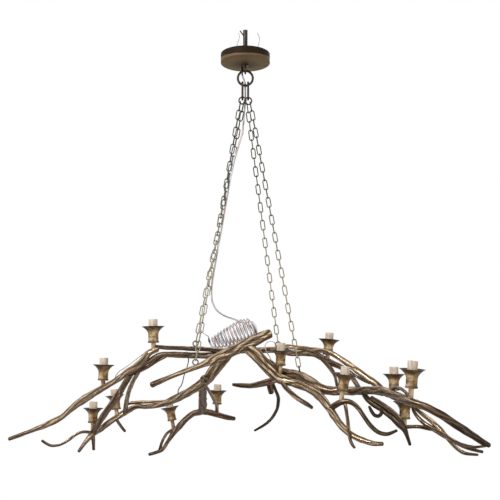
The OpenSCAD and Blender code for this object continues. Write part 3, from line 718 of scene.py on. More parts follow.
STEEL = MetalFinish(
    "blackened steel", paint(40, 36, 32), paint(62, 56, 48), paint(22, 19, 17), 0.75, 0.42
)
ZINC = MetalFinish("dull zinc", paint(120, 118, 114), paint(146, 144, 138), paint(70, 66, 60), 0.8, 0.45)
DARK_METAL = MetalFinish("dark bronze", paint(64, 50, 34), paint(96, 78, 52), paint(34, 26, 18), 0.6, 0.45)
STEM_METAL = MetalFinish(
    "stem bronze", paint(142, 112, 80), paint(206, 180, 146), paint(52, 38, 27), 0.4, 0.35
)


# ---- Curves and surfaces ----


def smooth_curve(points: np.ndarray, spacing: float) -> np.ndarray:
    """Carries a smooth curve through points and cuts it into even steps.

    Between b and c, with a before and d after, a point at share t is
    b + t/2 * ((c - a) + t * (2a - 5b + 4c - d + t * (3b - 3c + d - a))). The curve is sampled finely, its
    running length is summed, and the samples are read off at even lengths.

    Args:
        points: Rows of x, y, z and any further values that run along with them.
        spacing: Length of a step.

    Returns:
        Rows like those of points.
    """
    last = len(points) - 1
    place = np.linspace(0, last, last * 24 + 1)
    i = np.minimum(place.astype(int), last - 1)
    t = (place - i)[:, None]
    a, b = points[np.maximum(i - 1, 0)], points[i]
    c, d = points[i + 1], points[np.minimum(i + 2, last)]
    fine = b + 0.5 * t * ((c - a) + t * (2 * a - 5 * b + 4 * c - d + t * (3 * b - 3 * c + d - a)))
    return even_steps(fine, spacing)


def even_steps(line: np.ndarray, spacing: float) -> np.ndarray:
    """Reads a fine line off at even lengths.

    Args:
        line: Rows of x, y, z and any further values.
        spacing: Length of a step.

    Returns:
        Rows like those of line.
    """
    run = running_length(line)
    at = np.linspace(0, run[-1], max(4, round(run[-1] / spacing)) + 1)
    return np.stack([np.interp(at, run, line[:, k]) for k in range(line.shape[1])], axis=1)


def running_length(line: np.ndarray) -> np.ndarray:
    """Length from a line's start to each of its points."""
    steps = np.linalg.norm(np.diff(line[:, :3], axis=0), axis=1)
    return np.concatenate([[0.0], np.cumsum(steps)])


def angles(sides: int) -> np.ndarray:
    """Row of even angles round a tube."""
    return np.linspace(0, FULL_TURN, sides, endpoint=False)[None, :]


def frames_along(line: np.ndarray) -> tuple[np.ndarray, np.ndarray, np.ndarray]:
    """Headings along a line, and two sideways directions that are carried along it without twist.

    Args:
        line: Points of the line.

    Returns:
        Headings, sides and other sides, one row for each point.
    """
    heads = np.gradient(line, axis=0)
    heads /= np.linalg.norm(heads, axis=1, keepdims=True)
    side = np.cross(heads[0], (0, 1, 0) if abs(heads[0][1]) < 0.9 else (1, 0, 0))
    sides = np.empty_like(heads)
    for i, head in enumerate(heads):
        side = side - side.dot(head) * head
        side /= np.linalg.norm(side)
        sides[i] = side
    return heads, sides, np.cross(heads, sides)


class Surface:
    """Gathers closed tubes and makes one mesh object of them."""

    def __init__(self, name: str) -> None:
        """Starts an empty surface.

        Args:
            name: Name of the piece.
        """
        self.name = name
        self.points: list[np.ndarray] = []
        self.faces: list[list[int]] = []
        self.marks: dict[str, list[np.ndarray]] = {}
        self.count = 0

    def add_tube(self, grid: np.ndarray, marks: dict[str, np.ndarray]) -> None:
        """Adds a tube of rings, each end closed by a fan round the middle of its last ring.

        Args:
            grid: Rings by sides by three, the rings in order along the tube.
            marks: Values or vectors at the grid's points, by name.
        """
        rings, sides = grid.shape[:2]
        i, k = np.meshgrid(np.arange(rings - 1), np.arange(sides), indexing="ij")
        after = (k + 1) % sides
        here, there = i * sides, (i + 1) * sides
        quads = np.stack([here + k, here + after, there + after, there + k], axis=-1)
        ring = np.arange(sides)
        first, last = rings * sides, rings * sides + 1
        top = (rings - 1) * sides
        near = np.stack([np.full(sides, first), (ring + 1) % sides, ring], axis=-1)
        far = np.stack([np.full(sides, last), top + ring, top + (ring + 1) % sides], axis=-1)
        for part in (quads.reshape(-1, 4), near, far):
            self.faces.extend((part + self.count).tolist())
        self.points.append(np.concatenate([grid.reshape(-1, 3), grid[:1].mean(1), grid[-1:].mean(1)]))
        for key, value in marks.items():
            flat = value.reshape(rings * sides, -1)
            ends = np.stack([value[0].reshape(sides, -1).mean(0), value[-1].reshape(sides, -1).mean(0)])
            self.marks.setdefault(key, []).append(np.concatenate([flat, ends]))
        self.count += rings * sides + 2

    def build(self, material: bpy.types.Material) -> bpy.types.Object:
        """Makes the mesh object, smooth shaded, with its marks as attributes.

        Args:
            material: Finish of the piece.

        Returns:
            The new object, at the origin.
        """
        mesh = bpy.data.meshes.new(self.name)
        mesh.from_pydata(np.concatenate(self.points).tolist(), [], self.faces)
        for key, parts in self.marks.items():
            values = np.concatenate(parts).astype(np.float32)
            vector = values.shape[1] == 3
            attribute = mesh.attributes.new(key, "FLOAT_VECTOR" if vector else "FLOAT", "POINT")
            attribute.data.foreach_set("vector" if vector else "value", values.ravel())
        mesh.polygons.foreach_set("use_smooth", np.ones(len(mesh.polygons), bool))
        mesh.materials.append(material)
        piece = bpy.data.objects.new(self.name, mesh)
        bpy.context.scene.collection.objects.link(piece)
        return piece


class End(Enum):
    """How the end of a branch is shaped: reach and radius of its rings, in shares of the end's radius."""

    ROUNDED = ((0.18, 0.95), (0.34, 0.82), (0.47, 0.64), (0.56, 0.42), (0.6, 0.2))
    SAWN = (
        (0.3, 1.0), (0.42, 0.97), (0.47, 0.9), (0.44, 0.76),
        (0.47, 0.6), (0.44, 0.45), (0.46, 0.3), (0.45, 0.14),
    )


@dataclass(frozen=True)
class Waves:
    """Waves round a branch: how many, their least and most turns round it, and their lengths in metres."""

    count: int
    low: int
    high: int
    longest: float
    shortest: float

    def height(self, random: np.random.Generator, along: np.ndarray, around: np.ndarray) -> np.ndarray:
        """Sum of the waves over the root of their number, each cos(turns * angle + pace * length + start).

        Args:
            random: Where their turns, lengths and starts come from.
            along: Column of lengths along the branch, in metres.
            around: Row of angles round it.

        Returns:
            The height, rings by sides.
        """
        turns = random.integers(self.low, self.high + 1, self.count)
        lengths = random.uniform(self.shortest, self.longest, self.count)
        pace = FULL_TURN / lengths * random.choice([-1, 1], self.count)
        start = random.uniform(0, FULL_TURN, self.count)
        each = np.cos(turns * around[..., None] + pace * along[..., None] + start)
        return each.sum(-1) / math.sqrt(self.count)


@dataclass(frozen=True)
class Bark:
    """Relief of bark on a branch, in shares of its radius; most is its greatest height in metres."""

    seed: int
    strands: int = 5
    strand_depth: float = 0.075
    twist: float = 7.0
    lumps: float = 0.05
    furrows: float = 0.022
    knots_in_metre: float = 22.0
    knot_height: float = 0.17
    most: float = 0.0014
    lump_waves: Waves = Waves(9, 0, 3, 0.15, 0.035)
    turn_waves: Waves = Waves(4, 0, 1, 0.2, 0.06)
    furrow_waves: Waves = Waves(14, 8, 19, 0.11, 0.028)
    turn_depth: float = 0.34
    strand_mean: float = 0.66
    knot_width: Band = (0.45, 0.8)
    knot_share: Band = (0.4, 1)

    def knot(
        self, random: np.random.Generator, along: np.ndarray, around: np.ndarray, radius: np.ndarray
    ) -> np.ndarray:
        """One knot at a random place: height * (exp(-1.3 g) - 0.6 exp(-9 g)), with g the gap to it squared.

        Args:
            random: Where its place and size come from.
            along: Column of lengths along the branch, in metres.
            around: Row of angles round it.
            radius: Column of its radii, in metres.

        Returns:
            Its height in shares of the radius, rings by sides.
        """
        at, angle = random.uniform(0, float(along[-1, 0])), random.uniform(0, FULL_TURN)
        wide = random.uniform(*self.knot_width) * np.interp(at, along[:, 0], radius[:, 0])
        apart = (around - angle + math.pi) % FULL_TURN - math.pi
        gap = ((along - at) / wide) ** 2 + (apart * radius / wide) ** 2
        height = self.knot_height * random.uniform(*self.knot_share)
        return height * (np.exp(-1.3 * gap) - 0.6 * np.exp(-9 * gap))

    def relief(
        self, along: np.ndarray, around: np.ndarray, radius: np.ndarray
    ) -> tuple[np.ndarray, np.ndarray]:
        """Height of the bark over a grid, and how deep in a furrow each point lies.

        The height is a sum of slow waves (lumps), of rounded strands with sharp valleys between them,
        abs(sin(strands / 2 * turned angle)), of fine waves that run lengthwise, and of knots, each a round
        swelling with a dimple in it. A point lies 0.62 - 0.75 * (strand - 0.35) - 0.22 * fine wave deep.

        Args:
            along: Column of lengths along the branch, in metres.
            around: Row of angles round it.
            radius: Column of its radii, in metres.

        Returns:
            Height in shares of the radius, and depth in a furrow from 0 to 1, both rings by sides.
        """
        random = np.random.default_rng(self.seed)
        lumps = self.lump_waves.height(random, along, around)
        turned = around + self.twist * along + self.turn_depth * self.turn_waves.height(random, along, around)
        strand = np.abs(np.sin(self.strands / 2 * turned))
        fine = self.furrow_waves.height(random, along, around)
        height = self.lumps * lumps + self.strand_depth * (strand - self.strand_mean) + self.furrows * fine
        for _ in range(int(self.knots_in_metre * float(along[-1, 0]))):
            height = height + self.knot(random, along, around, radius)
        most = self.most / radius
        furrow = np.clip(0.62 - (strand - 0.35) * 0.75 - fine * 0.22, 0, 1)
        return np.clip(height, -most, most), furrow


@dataclass(frozen=True)
class Drawing:
    """Front elevation on which the branches are drawn, in squares.

    A drawn point is its column, its row, the squares that it lies behind the hanging axis, and half the
    thickness there. It is set back along its line of sight, so it keeps its place in the elevation.
    """

    width: float = 1.350
    eye_distance: float = 2.290
    eye_level: float = -0.882
    back: float = 0.022
    squares: float = 479.0
    axis_column: float = 245.0
    eye_row: float = 365.0

    def placed(self, drawn: Drawn) -> np.ndarray:
        """Places drawn points in the room.

        A point lies away = depth * square + back behind the axis, and its column, row and thickness grow by
        1 + away / eye distance.

        Args:
            drawn: Rows of column, row, depth and, if it has one, half thickness.

        Returns:
            Rows of x, y, z and radius, in metres.
        """
        p = np.asarray(drawn, float)
        square = self.width / self.squares
        away = p[:, 2] * square + self.back
        grow = square * (1 + away / self.eye_distance)
        half = p[:, 3] if p.shape[1] > 3 else np.ones(len(p))
        return np.stack(
            [
                (p[:, 0] - self.axis_column) * grow,
                away,
                self.eye_level + (self.eye_row - p[:, 1]) * grow,
                half * grow,
            ],
            axis=1,
        )


DRAWING = Drawing()


@dataclass(frozen=True)
class Branch:
    """One branch or twig: its drawn line, its bark, the shapes of its ends, and how dark its tip is."""

    line: Drawn
    bark: Bark
    start: End = End.ROUNDED
    end: End = End.ROUNDED
    step: float = 0.0024
    side: float = 0.0019
    inset: float = 0.985
    tip_dark: float = 0.35
    tip_length: float = 0.06
    fewest_sides: int = 22
    most_sides: int = 56

    def add_to(self, surface: Surface) -> None:
        """Adds the branch to a surface.

        The point at length s and angle a is centre(s) + r(s) * (1 + height(s, a)) * (cos a * side + sin a *
        other side), and each end has a few more rings of its own profile. Towards the tip the furrow mark
        rises by tip dark * (1 - smooth step of the length that is left / tip length).

        Args:
            surface: Surface that takes the tube.
        """
        path = smooth_curve(DRAWING.placed(self.line), self.step)
        heads, sides, others = frames_along(path[:, :3])
        near = np.array(self.start.value[::-1])
        far = np.array(self.end.value)
        first, last = path[0], path[-1]
        start = first[:3] - heads[0] * first[3] * near[:, :1]
        end = last[:3] + heads[-1] * last[3] * far[:, :1]
        centres = np.concatenate([start, path[:, :3], end])
        radii = np.concatenate([first[3] * near[:, 1], path[:, 3], last[3] * far[:, 1]])[:, None]
        repeats = np.r_[len(near) + 1, np.ones(len(path) - 2, int), len(far) + 1]
        sides, others, reach = (np.repeat(rows, repeats, 0) for rows in (sides, others, path[:, 3:4]))
        along = running_length(centres)[:, None]
        count = round(FULL_TURN * float(path[:, 3].max()) / self.side)
        around = angles(int(np.clip(count, self.fewest_sides, self.most_sides)))
        height, furrow = self.bark.relief(along, around, reach)
        to_tip = along[-1, 0] - along
        furrow = np.clip(furrow + self.tip_dark * (1 - ease(to_tip / self.tip_length)), 0, 1)
        out = np.cos(around)[..., None] * sides[:, None] + np.sin(around)[..., None] * others[:, None]
        thick = (radii * self.inset * (1 + height))[..., None]
        grid = centres[:, None] + thick * out
        flat = np.stack(
            np.broadcast_arrays(radii * np.cos(around), radii * np.sin(around), along), axis=-1
        )
        surface.add_tube(grid, {"grain": flat, "furrow": furrow})


# ---- Branch lines, drawn on the front elevation: column, row, squares back, half thickness ----

TRUNK = [
    [268, 335, -4, 5], [258, 339.5, -8, 5.4], [246, 345.5, -14, 5.6], [233, 351.5, -21, 5.4],
    [220, 357.5, -28, 5.3], [210, 362.3, -34, 4.4], [203, 365.3, -38, 3], [192, 369.3, -41, 2.5],
    [178, 374.6, -46, 2.4], [165, 380, -52, 2.5], [153, 385.2, -58, 2.9],
]
FRONT = [
    [247, 348.5, -13, 5.3], [254.5, 354.5, -12, 6.1], [262.5, 362, -11, 6.1], [270, 370.5, -9, 5.9],
    [277.5, 378.5, -8, 5.1], [288, 382, -12, 4.4], [300, 385.2, -20, 4.5], [311, 390, -32, 4.5],
    [320.5, 397.5, -46, 4.3], [328, 407, -60, 4], [334, 415.5, -70, 3.7], [341, 425, -80, 3.5],
    [350, 433.6, -90, 3.3], [362, 439.6, -98, 2.9], [373, 443, -104, 2.5], [382.5, 443.6, -108, 2.1],
]
FRONT_RIGHT = [
    [268, 363, 0, 3.8], [277, 371, 3, 4.6], [287, 374.3, -2, 4.8], [298, 376, -12, 4.8],
    [308, 381, -22, 4.8], [317, 387, -30, 4.9], [327, 390.6, -37, 4.7], [339, 391.2, -43, 4.4],
    [352, 391.3, -50, 4.2], [367, 390.6, -66, 4.1], [382, 391.5, -90, 4.4], [397, 396, -122, 4.4],
    [412, 401.8, -156, 4.3], [427, 407, -166, 4], [442, 414.5, -168, 4], [456, 423.6, -165, 4],
    [470.5, 433.2, -160, 3.8], [482, 440.8, -155, 3.3], [489.5, 445, -152, 2.4],
]
BACK = [
    [156, 347.5, -44, 2.2], [170, 348.5, -32, 2.1], [188, 349.3, -8, 2.3], [204, 350, 16, 2.5],
    [218, 351.3, 32, 2.4], [234, 352, 40, 2.6], [250, 351.5, 43, 2.8], [264, 351, 43, 3],
    [280, 351.2, 40, 3.3], [289, 353.5, 36, 3.3], [303, 353.8, 28, 3.2], [314, 355, 18, 3.2],
    [324, 360.2, 8, 3.1], [333, 364.6, -2, 3], [341, 368.5, -10, 2.8], [350, 376, -24, 2.6],
    [355, 383, -42, 2.4], [359.5, 389.5, -58, 2.2],
]
BACK_LEFT = [
    [238, 353, 41, 2.2], [220, 356, 34, 3], [205, 356.4, 18, 3.1], [188, 356, -6, 3.1],
    [172, 355.3, -26, 3], [160, 355.8, -37, 2.6], [150, 361.5, -40, 2.3], [141, 367.5, -39, 2],
]
BACK_RIGHT = [
    [285.5, 347.4, 39, 2.2], [300, 348.8, 30, 2.3], [313, 350.6, 10, 2.4], [325, 352, -4, 2.5],
    [333, 355.3, -10, 2.6], [341, 360.3, -15, 2.8], [350, 366.3, -22, 3.1], [358, 372.3, -28, 3.2],
    [366, 378.3, -34, 3.3], [374, 383.5, -39, 3.5], [383, 391, -44, 3.1], [393, 397.3, -50, 2.9],
    [403, 401.3, -56, 2.9], [411, 405.3, -60, 2.6], [416.5, 409.8, -66, 2.2], [423, 415, -73, 2.3],
    [431, 421.3, -80, 2.4], [438, 427.8, -85, 2.5], [444, 434.6, -90, 2.4], [450, 441.6, -94, 2],
    [456, 448, -98, 1.9], [464, 452.6, -102, 1.8], [477, 454.3, -110, 1.2],
]
OUTER_LEFT = [
    [158, 350, -44, 2.7], [150, 353.5, -44, 3.4], [144, 361, -42, 3.7], [137, 367.5, -38, 3.7],
    [128, 373, -32, 3.5], [117, 381, -23, 2.8], [104, 388.3, -12, 3.1], [92, 395.5, -2, 3.7],
    [80.5, 402.8, 6, 3.7], [71.5, 410.3, 10, 3], [64, 416.8, 12, 2.5], [54, 422, 15, 3.1],
    [45, 426.3, 17, 2.8], [34, 430.5, 19, 2], [23, 434.6, 21, 1.9], [12, 438.7, 23, 1.8],
]
LOW_LEFT = [
    [231, 352, -19, 4.3], [222, 361, -12, 6], [213, 372.5, 0, 5.8], [203, 383.5, 14, 4.7],
    [190, 391.5, 30, 4.1], [174, 400, 50, 3.8], [158, 405.5, 66, 2.7], [146, 407, 76, 2.2],
    [136, 407, 84, 2.5], [124, 413.5, 90, 3], [112, 421, 84, 2.9], [102, 428.5, 68, 2.8],
    [94, 434, 52, 3], [87.5, 441, 46, 2], [80.5, 450.8, 42, 1.5],
]
STEEP_LEFT = [
    [139, 366, -38, 2.6], [132, 374, -22, 3], [126, 384, -8, 3.1], [118, 397, 8, 3.3],
    [109.5, 409, 22, 3.3], [101.5, 420.5, 38, 3], [94.3, 432.5, 52, 2.4],
]
PALE_LEFT = [
    [142, 368, -38, 2.2], [136, 378, -8, 2.1], [130.5, 389, 28, 2.2], [127.5, 400, 60, 2.2],
    [125.5, 412.3, 87, 2.4],
]
DROP = [
    [203, 384, 15, 4.2], [202.5, 391, 36, 4.1], [202.3, 399, 60, 4], [202, 406, 82, 4.2],
    [200.5, 411.5, 96, 3.6], [193, 413.8, 104, 3], [185, 419.5, 112, 2.9], [179, 426.5, 118, 2.9],
    [174, 431.8, 122, 2.8], [168, 440.5, 126, 1.9], [161.5, 449.5, 128, 1.8], [149.5, 453.6, 130, 1.5],
]
DARK_RIGHT = [
    [362.5, 392.5, -62, 2.4], [367, 399, -64, 3], [374, 404.5, -66, 3], [382, 409.5, -68, 3.2],
    [390, 416, -70, 3.3], [397.5, 423.3, -71, 3.1], [403.5, 429, -72, 2.8], [406.5, 436.5, -72, 1.9],
    [409, 444.3, -72, 1.6],
]
FAR_RIGHT = [
    [412, 405.6, -66, 1.8], [413, 411, -69, 1.8], [417.5, 417.5, -74, 2], [424, 423.5, -79, 2.2],
    [433, 429, -85, 2.5], [442, 434.3, -92, 2.8], [450.5, 439.3, -100, 2.3], [461, 444, -114, 1.8],
    [473, 446.6, -130, 1.6], [482, 446, -142, 1.4], [489, 444.6, -152, 1.5],
]
S_BEND = [
    [329.5, 410, -63, 2.8], [334.5, 405.8, -68, 3.2], [341, 402.3, -75, 3.2], [347.5, 401.6, -78, 2.6],
    [353.5, 403.8, -80, 2.3], [359.5, 409.8, -83, 2.3], [365, 418, -86, 2.3], [371, 426, -89, 2.3],
    [378, 431.8, -91, 2.1], [387, 433.8, -92, 1.9], [396.5, 430.3, -92, 1.3],
]
WAVY = [
    [94, 432.5, 51, 1.6], [85, 431.7, 50, 1.5], [78, 434, 49, 1.4], [70, 440, 48, 1.4],
    [62, 444.2, 47, 1.4], [54, 445.2, 46, 1.4], [48.5, 443, 46, 1.4], [44.3, 440.3, 46, 1.3],
]
SPUR = [[116.5, 418, 88, 1.7], [120.5, 424.5, 89, 1.5], [125.8, 431, 90, 1.3]]
ARC = [
    [166, 357, -32, 1.7], [157, 362, -37, 1.7], [148, 367.8, -39, 1.8], [138, 372.5, -36, 1.9],
    [130, 375.5, -31, 1.7],
]
INNER = [[172.5, 429.5, 122, 1.5], [166.5, 433.5, 124, 1.4], [162.5, 440.5, 126, 1.4], [159.5, 450, 128, 1.4]]
FORK = [[200, 411.3, 95, 3.3], [209, 412.6, 102, 2.9], [218, 415.2, 110, 2.8], [226, 417.5, 116, 2.7],
        [233, 418.8, 120, 2.1]]
END_TWIG = [[94, 434, 52, 2.4], [94.8, 441, 53, 1.8], [95.3, 448.8, 54, 1.5]]
SPLIT = [[168, 402, 57, 1.8], [152, 402.3, 68, 1.7], [140, 402.5, 72, 1.7], [131, 403.4, 74, 1.6],
         [126.5, 405.2, 72, 1.5]]
BRACE_LEFT = [[204.5, 384.5, 10, 1.5], [208.5, 391, 30, 1.5], [212.5, 399, 60, 1.3], [215.5, 406, 92, 1.2],
              [216.5, 412, 106, 1.2]]
KNOT = [[204.5, 380.5, 7, 4.2], [204.5, 380, 0, 4.3], [204.5, 379.5, -7, 3.8]]
TUSK = [
    [276, 379.5, -8, 3.4], [268, 382.5, -10, 3.6], [259, 385, -16, 3.1], [250, 386, -24, 2.7],
    [241, 385.8, -32, 2.2], [233.5, 385, -38, 1.5],
]
STICK = [
    [281, 381.5, -10, 2.2], [285.5, 388, -16, 2.4], [292, 394.5, -24, 2.4], [299, 399.5, -32, 2.4],
    [305.5, 403.8, -40, 2.3], [311.5, 407.8, -47, 1.8],
]
STUB = [[268.5, 383, -9, 3.1], [269.7, 388, -9, 3], [271, 393, -9, 2.7]]
CURL = [
    [271.5, 382.3, -7.5, 1.9], [275, 390.5, -2, 1.7], [277.6, 398, 6, 1.7], [277, 406, 12, 1.7],
    [274.5, 413, 18, 1.6], [270, 419.3, 23, 1.5], [263.5, 425, 28, 1.4], [254, 430.3, 34, 1.1],
]
THIN_DROP = [
    [345, 402.5, -76, 1.7], [346.3, 411, -80, 1.9], [347.7, 421, -86, 1.8], [349, 430.5, -92, 1.8],
    [350, 437.5, -98, 1.7], [351.8, 443, -102, 1.6], [354.8, 447.2, -104, 1.3],
]
BRACE = [[321, 359.5, 9, 2.2], [326.5, 365, 2, 2.4], [331.5, 371.5, -8, 2.1], [334.8, 378.5, -22, 1.6],
         [336.8, 389, -41, 1.5]]
TWIN = [
    [316, 356.5, 14, 1.4], [325, 361, 3, 1.6], [333, 363, -6, 1.6], [341, 366.8, -11, 1.6],
    [348, 371.3, -17, 1.5], [354, 375.8, -22, 1.4], [361, 380, -28, 1.4], [369, 383.5, -37, 1.3],
]
BRACE_RIGHT = [[390, 392.5, -106, 1.9], [396, 387.8, -114, 1.7], [403, 389.5, -132, 1.7],
               [409, 394.5, -148, 1.7], [412, 400, -156, 1.6]]
DARK_STRAND = [
    [371.5, 398.3, -66, 2.6], [378, 401.8, -72, 2.2], [385, 406, -79, 2], [393, 411.8, -84, 2],
    [400, 419.3, -84, 1.9], [404.5, 427.5, -76, 1.6],
]
HOOK = [
    [380.5, 409, -69, 2], [381, 413, -71, 2], [378.5, 416, -72, 1.9], [374.5, 415.3, -73, 1.9],
    [371.3, 411.5, -74, 1.7], [369, 406.8, -75, 1.3],
]
LOW_RIGHT = [[446, 437, -95, 1.7], [456, 442.8, -104, 1.8], [466, 447.4, -112, 1.7], [475, 449.8, -118, 1.6],
             [482, 451.4, -121, 1.5]]
SHORT_RIGHT = [[404.5, 426.8, -70, 2.1], [418, 426.5, -75, 1.9], [431, 429, -84, 1.9]]


@dataclass(frozen=True)
class BranchPiece:
    """A branch, or a group of twigs, that stands for one solid."""

    node: str
    finish: BarkFinish
    branches: tuple[Branch, ...]

    def build(self) -> bpy.types.Object:
        """Builds the piece and puts it in the solid's place.

        Returns:
            The new object.
        """
        surface = Surface(f"{self.node}_bark")
        for branch in self.branches:
            branch.add_to(surface)
        piece = surface.build(MATERIALS[self.finish.name])
        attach(piece, "branch_frame")
        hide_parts(self.node)
        return piece


def twigs(*lines: Drawn, seed: int) -> tuple[Branch, ...]:
    """Thin branches with fewer strands and finer bark.

    Args:
        *lines: Their drawn lines.
        seed: Start of their random bark.

    Returns:
        One branch for each line.
    """
    return tuple(
        Branch(line, Bark(seed + k, strands=3, strand_depth=0.09, lumps=0.07, furrows=0.03, most=0.0009))
        for k, line in enumerate(lines)
    )


@dataclass
class BranchFrame:
    """The nest of branches, brazed into one frame."""

    pieces: list[BranchPiece] = field(
        default_factory=lambda: [
            BranchPiece("trunk", MID_BRONZE, (Branch(TRUNK, Bark(11, strands=6), start=End.SAWN),)),
            BranchPiece("front_branch", MID_BRONZE, (Branch(FRONT, Bark(12, strands=6)),)),
            BranchPiece(
                "front_right_branch",
                BROWN_BRONZE,
                (Branch(FRONT_RIGHT, Bark(13), tip_dark=0.5, tip_length=0.3),),
            ),
            BranchPiece("back_branch", BROWN_BRONZE, (Branch(BACK, Bark(14, strands=4)),)),
            BranchPiece("back_left_branch", MID_BRONZE, (Branch(BACK_LEFT, Bark(15, strands=4)),)),
            BranchPiece("back_right_branch", MID_BRONZE, (Branch(BACK_RIGHT, Bark(16, strands=4)),)),
            BranchPiece("outer_left_branch", MID_BRONZE, (Branch(OUTER_LEFT, Bark(17), tip_length=0.16),)),
            BranchPiece("low_left_branch", MID_BRONZE, (Branch(LOW_LEFT, Bark(18)),)),
            BranchPiece("steep_left_branch", BROWN_BRONZE, (Branch(STEEP_LEFT, Bark(19, strands=4)),)),
            BranchPiece("pale_left_branch", PALE_BRONZE, (Branch(PALE_LEFT, Bark(20, strands=4)),)),
            BranchPiece("drop_branch", BROWN_BRONZE, (Branch(DROP, Bark(21)),)),
            BranchPiece("dark_right_branch", DARK_BRONZE, (Branch(DARK_RIGHT, Bark(22, strands=4)),)),
            BranchPiece(
                "far_right_branch", BROWN_BRONZE, (Branch(FAR_RIGHT, Bark(23, strands=4), tip_length=0.2),)
            ),
            BranchPiece("s_branch", DARK_BRONZE, (Branch(S_BEND, Bark(24, strands=4)),)),
            BranchPiece("left_twigs", BROWN_BRONZE, twigs(WAVY, SPUR, ARC, INNER, FORK, seed=30)),
            BranchPiece("left_sprigs", MID_BRONZE, twigs(END_TWIG, SPLIT, BRACE_LEFT, KNOT, seed=40)),
            BranchPiece(
                "right_twigs",
                BROWN_BRONZE,
                twigs(TUSK, STICK, THIN_DROP, BRACE, BRACE_RIGHT, LOW_RIGHT, seed=50),
            ),
            BranchPiece("right_sprigs", BROWN_BRONZE, twigs(STUB, TWIN, DARK_STRAND, SHORT_RIGHT, seed=60)),
            BranchPiece("hook_twigs", DARK_BRONZE, twigs(CURL, HOOK, seed=70)),
        ]
    )

    def build(self) -> None:
        """Builds each piece."""
        for spec in self.pieces:
            piece = spec.build()
            log.info("%s: %d faces", piece.name, len(piece.data.polygons))


# ---- Cords ----


class FarEnd(Enum):
    """What a cord's far end goes to."""

    FITTING = "fitting"
    OBJECT = "object"
    BARE = "bare"


class Lay(Enum):
    """How a cord lies."""

    TAUT = "taut"
    HANGING = "hanging"
    LOOSE = "loose"
    COILED = "coiled"


def build_tube(name: str, line: np.ndarray, radius: np.ndarray, finish: FlexFinish) -> bpy.types.Object:
    """Makes a tube along a line.

    The point at length s and angle a is centre(s) + radius(s, a) * (cos a * side + sin a * other side).

    Args:
        name: Name of the piece.
        line: Points that its middle follows.
        radius: Its radii, rings by sides.
        finish: Its finish.

    Returns:
        The new object.
    """
    _, sides, others = frames_along(line)
    around = angles(radius.shape[1])
    out = np.cos(around)[..., None] * sides[:, None] + np.sin(around)[..., None] * others[:, None]
    along = running_length(line)[:, None]
    flat = np.stack(np.broadcast_arrays(np.cos(around), np.sin(around), along), axis=-1)
    surface = Surface(name)
    surface.add_tube(line[:, None] + radius[..., None] * out, {"grain": flat})
    return surface.build(MATERIALS[finish.name])


@dataclass(frozen=True)
class CordRun:
    """One cord that is laid along route points, in millimetres. Its other sizes are in metres."""

    name: str
    node: str
    body: str
    route: Sequence[Sequence[float]]
    diameter: float
    finish: FlexFinish
    slot: str
    far_end: FarEnd
    lay: Lay
    stiffness: str = "limp"
    spacing: float = 0.0025
    sides: int = 16
    core_height: float = 0.03
    core_lay: float = 0.19

    def line(self) -> np.ndarray:
        """The cord's centreline, in metres."""
        return smooth_curve(np.asarray(self.route, float) * MM, self.spacing)

    def shape(self, line: np.ndarray) -> bpy.types.Object:
        """Makes the flex along a line, with the slight twist of its two cores.

        The radius at length s and angle a is d / 2 * (1 + core height * cos(2 * (a + turns of the cores))).

        Args:
            line: Points that the flex follows.

        Returns:
            The new object.
        """
        turned = angles(self.sides) + running_length(line)[:, None] * (FULL_TURN / self.core_lay)
        swell = 1 + self.core_height * np.cos(2 * turned)
        return build_tube(self.name, line, self.diameter / 2 * swell, self.finish)

    def declare(
        self, piece: bpy.types.Object, with_pieces: Sequence[bpy.types.Object] = ()
    ) -> None:
        """Attaches a finished cord to its body and lets it stand for its solid.

        Args:
            piece: The cord's object.
            with_pieces: Pieces that go with it; not used.
        """
        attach(piece, self.body)
        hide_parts(self.node)

    def build(self) -> None:
        line = self.line()
        self.declare(self.shape(line))


@dataclass(frozen=True)
class Sleeve:
    """Tapered rubber sleeve over a stretch of cord, with slight ribs round it."""

    name: str
    start_d: float
    end_d: float
    sides: int = 20
    ribs: int = 7
    rib_height: float = 0.03

    def build(self, line: np.ndarray, body: str) -> bpy.types.Object:
        """Makes the sleeve.

        The radius at share s of its length is (start + (end - start) * s) / 2 * (1 + rib height * cos(ribs *
        whole turns of s)).

        Args:
            line: Stretch of the cord that it covers.
            body: Body that it rides on.

        Returns:
            The new object.
        """
        share = np.linspace(0, 1, len(line))[:, None]
        swell = 1 + self.rib_height * np.cos(share * FULL_TURN * self.ribs)
        radius = (self.start_d + (self.end_d - self.start_d) * share) / 2 * swell
        piece = build_tube(self.name, line, np.repeat(radius, self.sides, axis=1), BLACK_WIRE)
        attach(piece, body)
        return piece


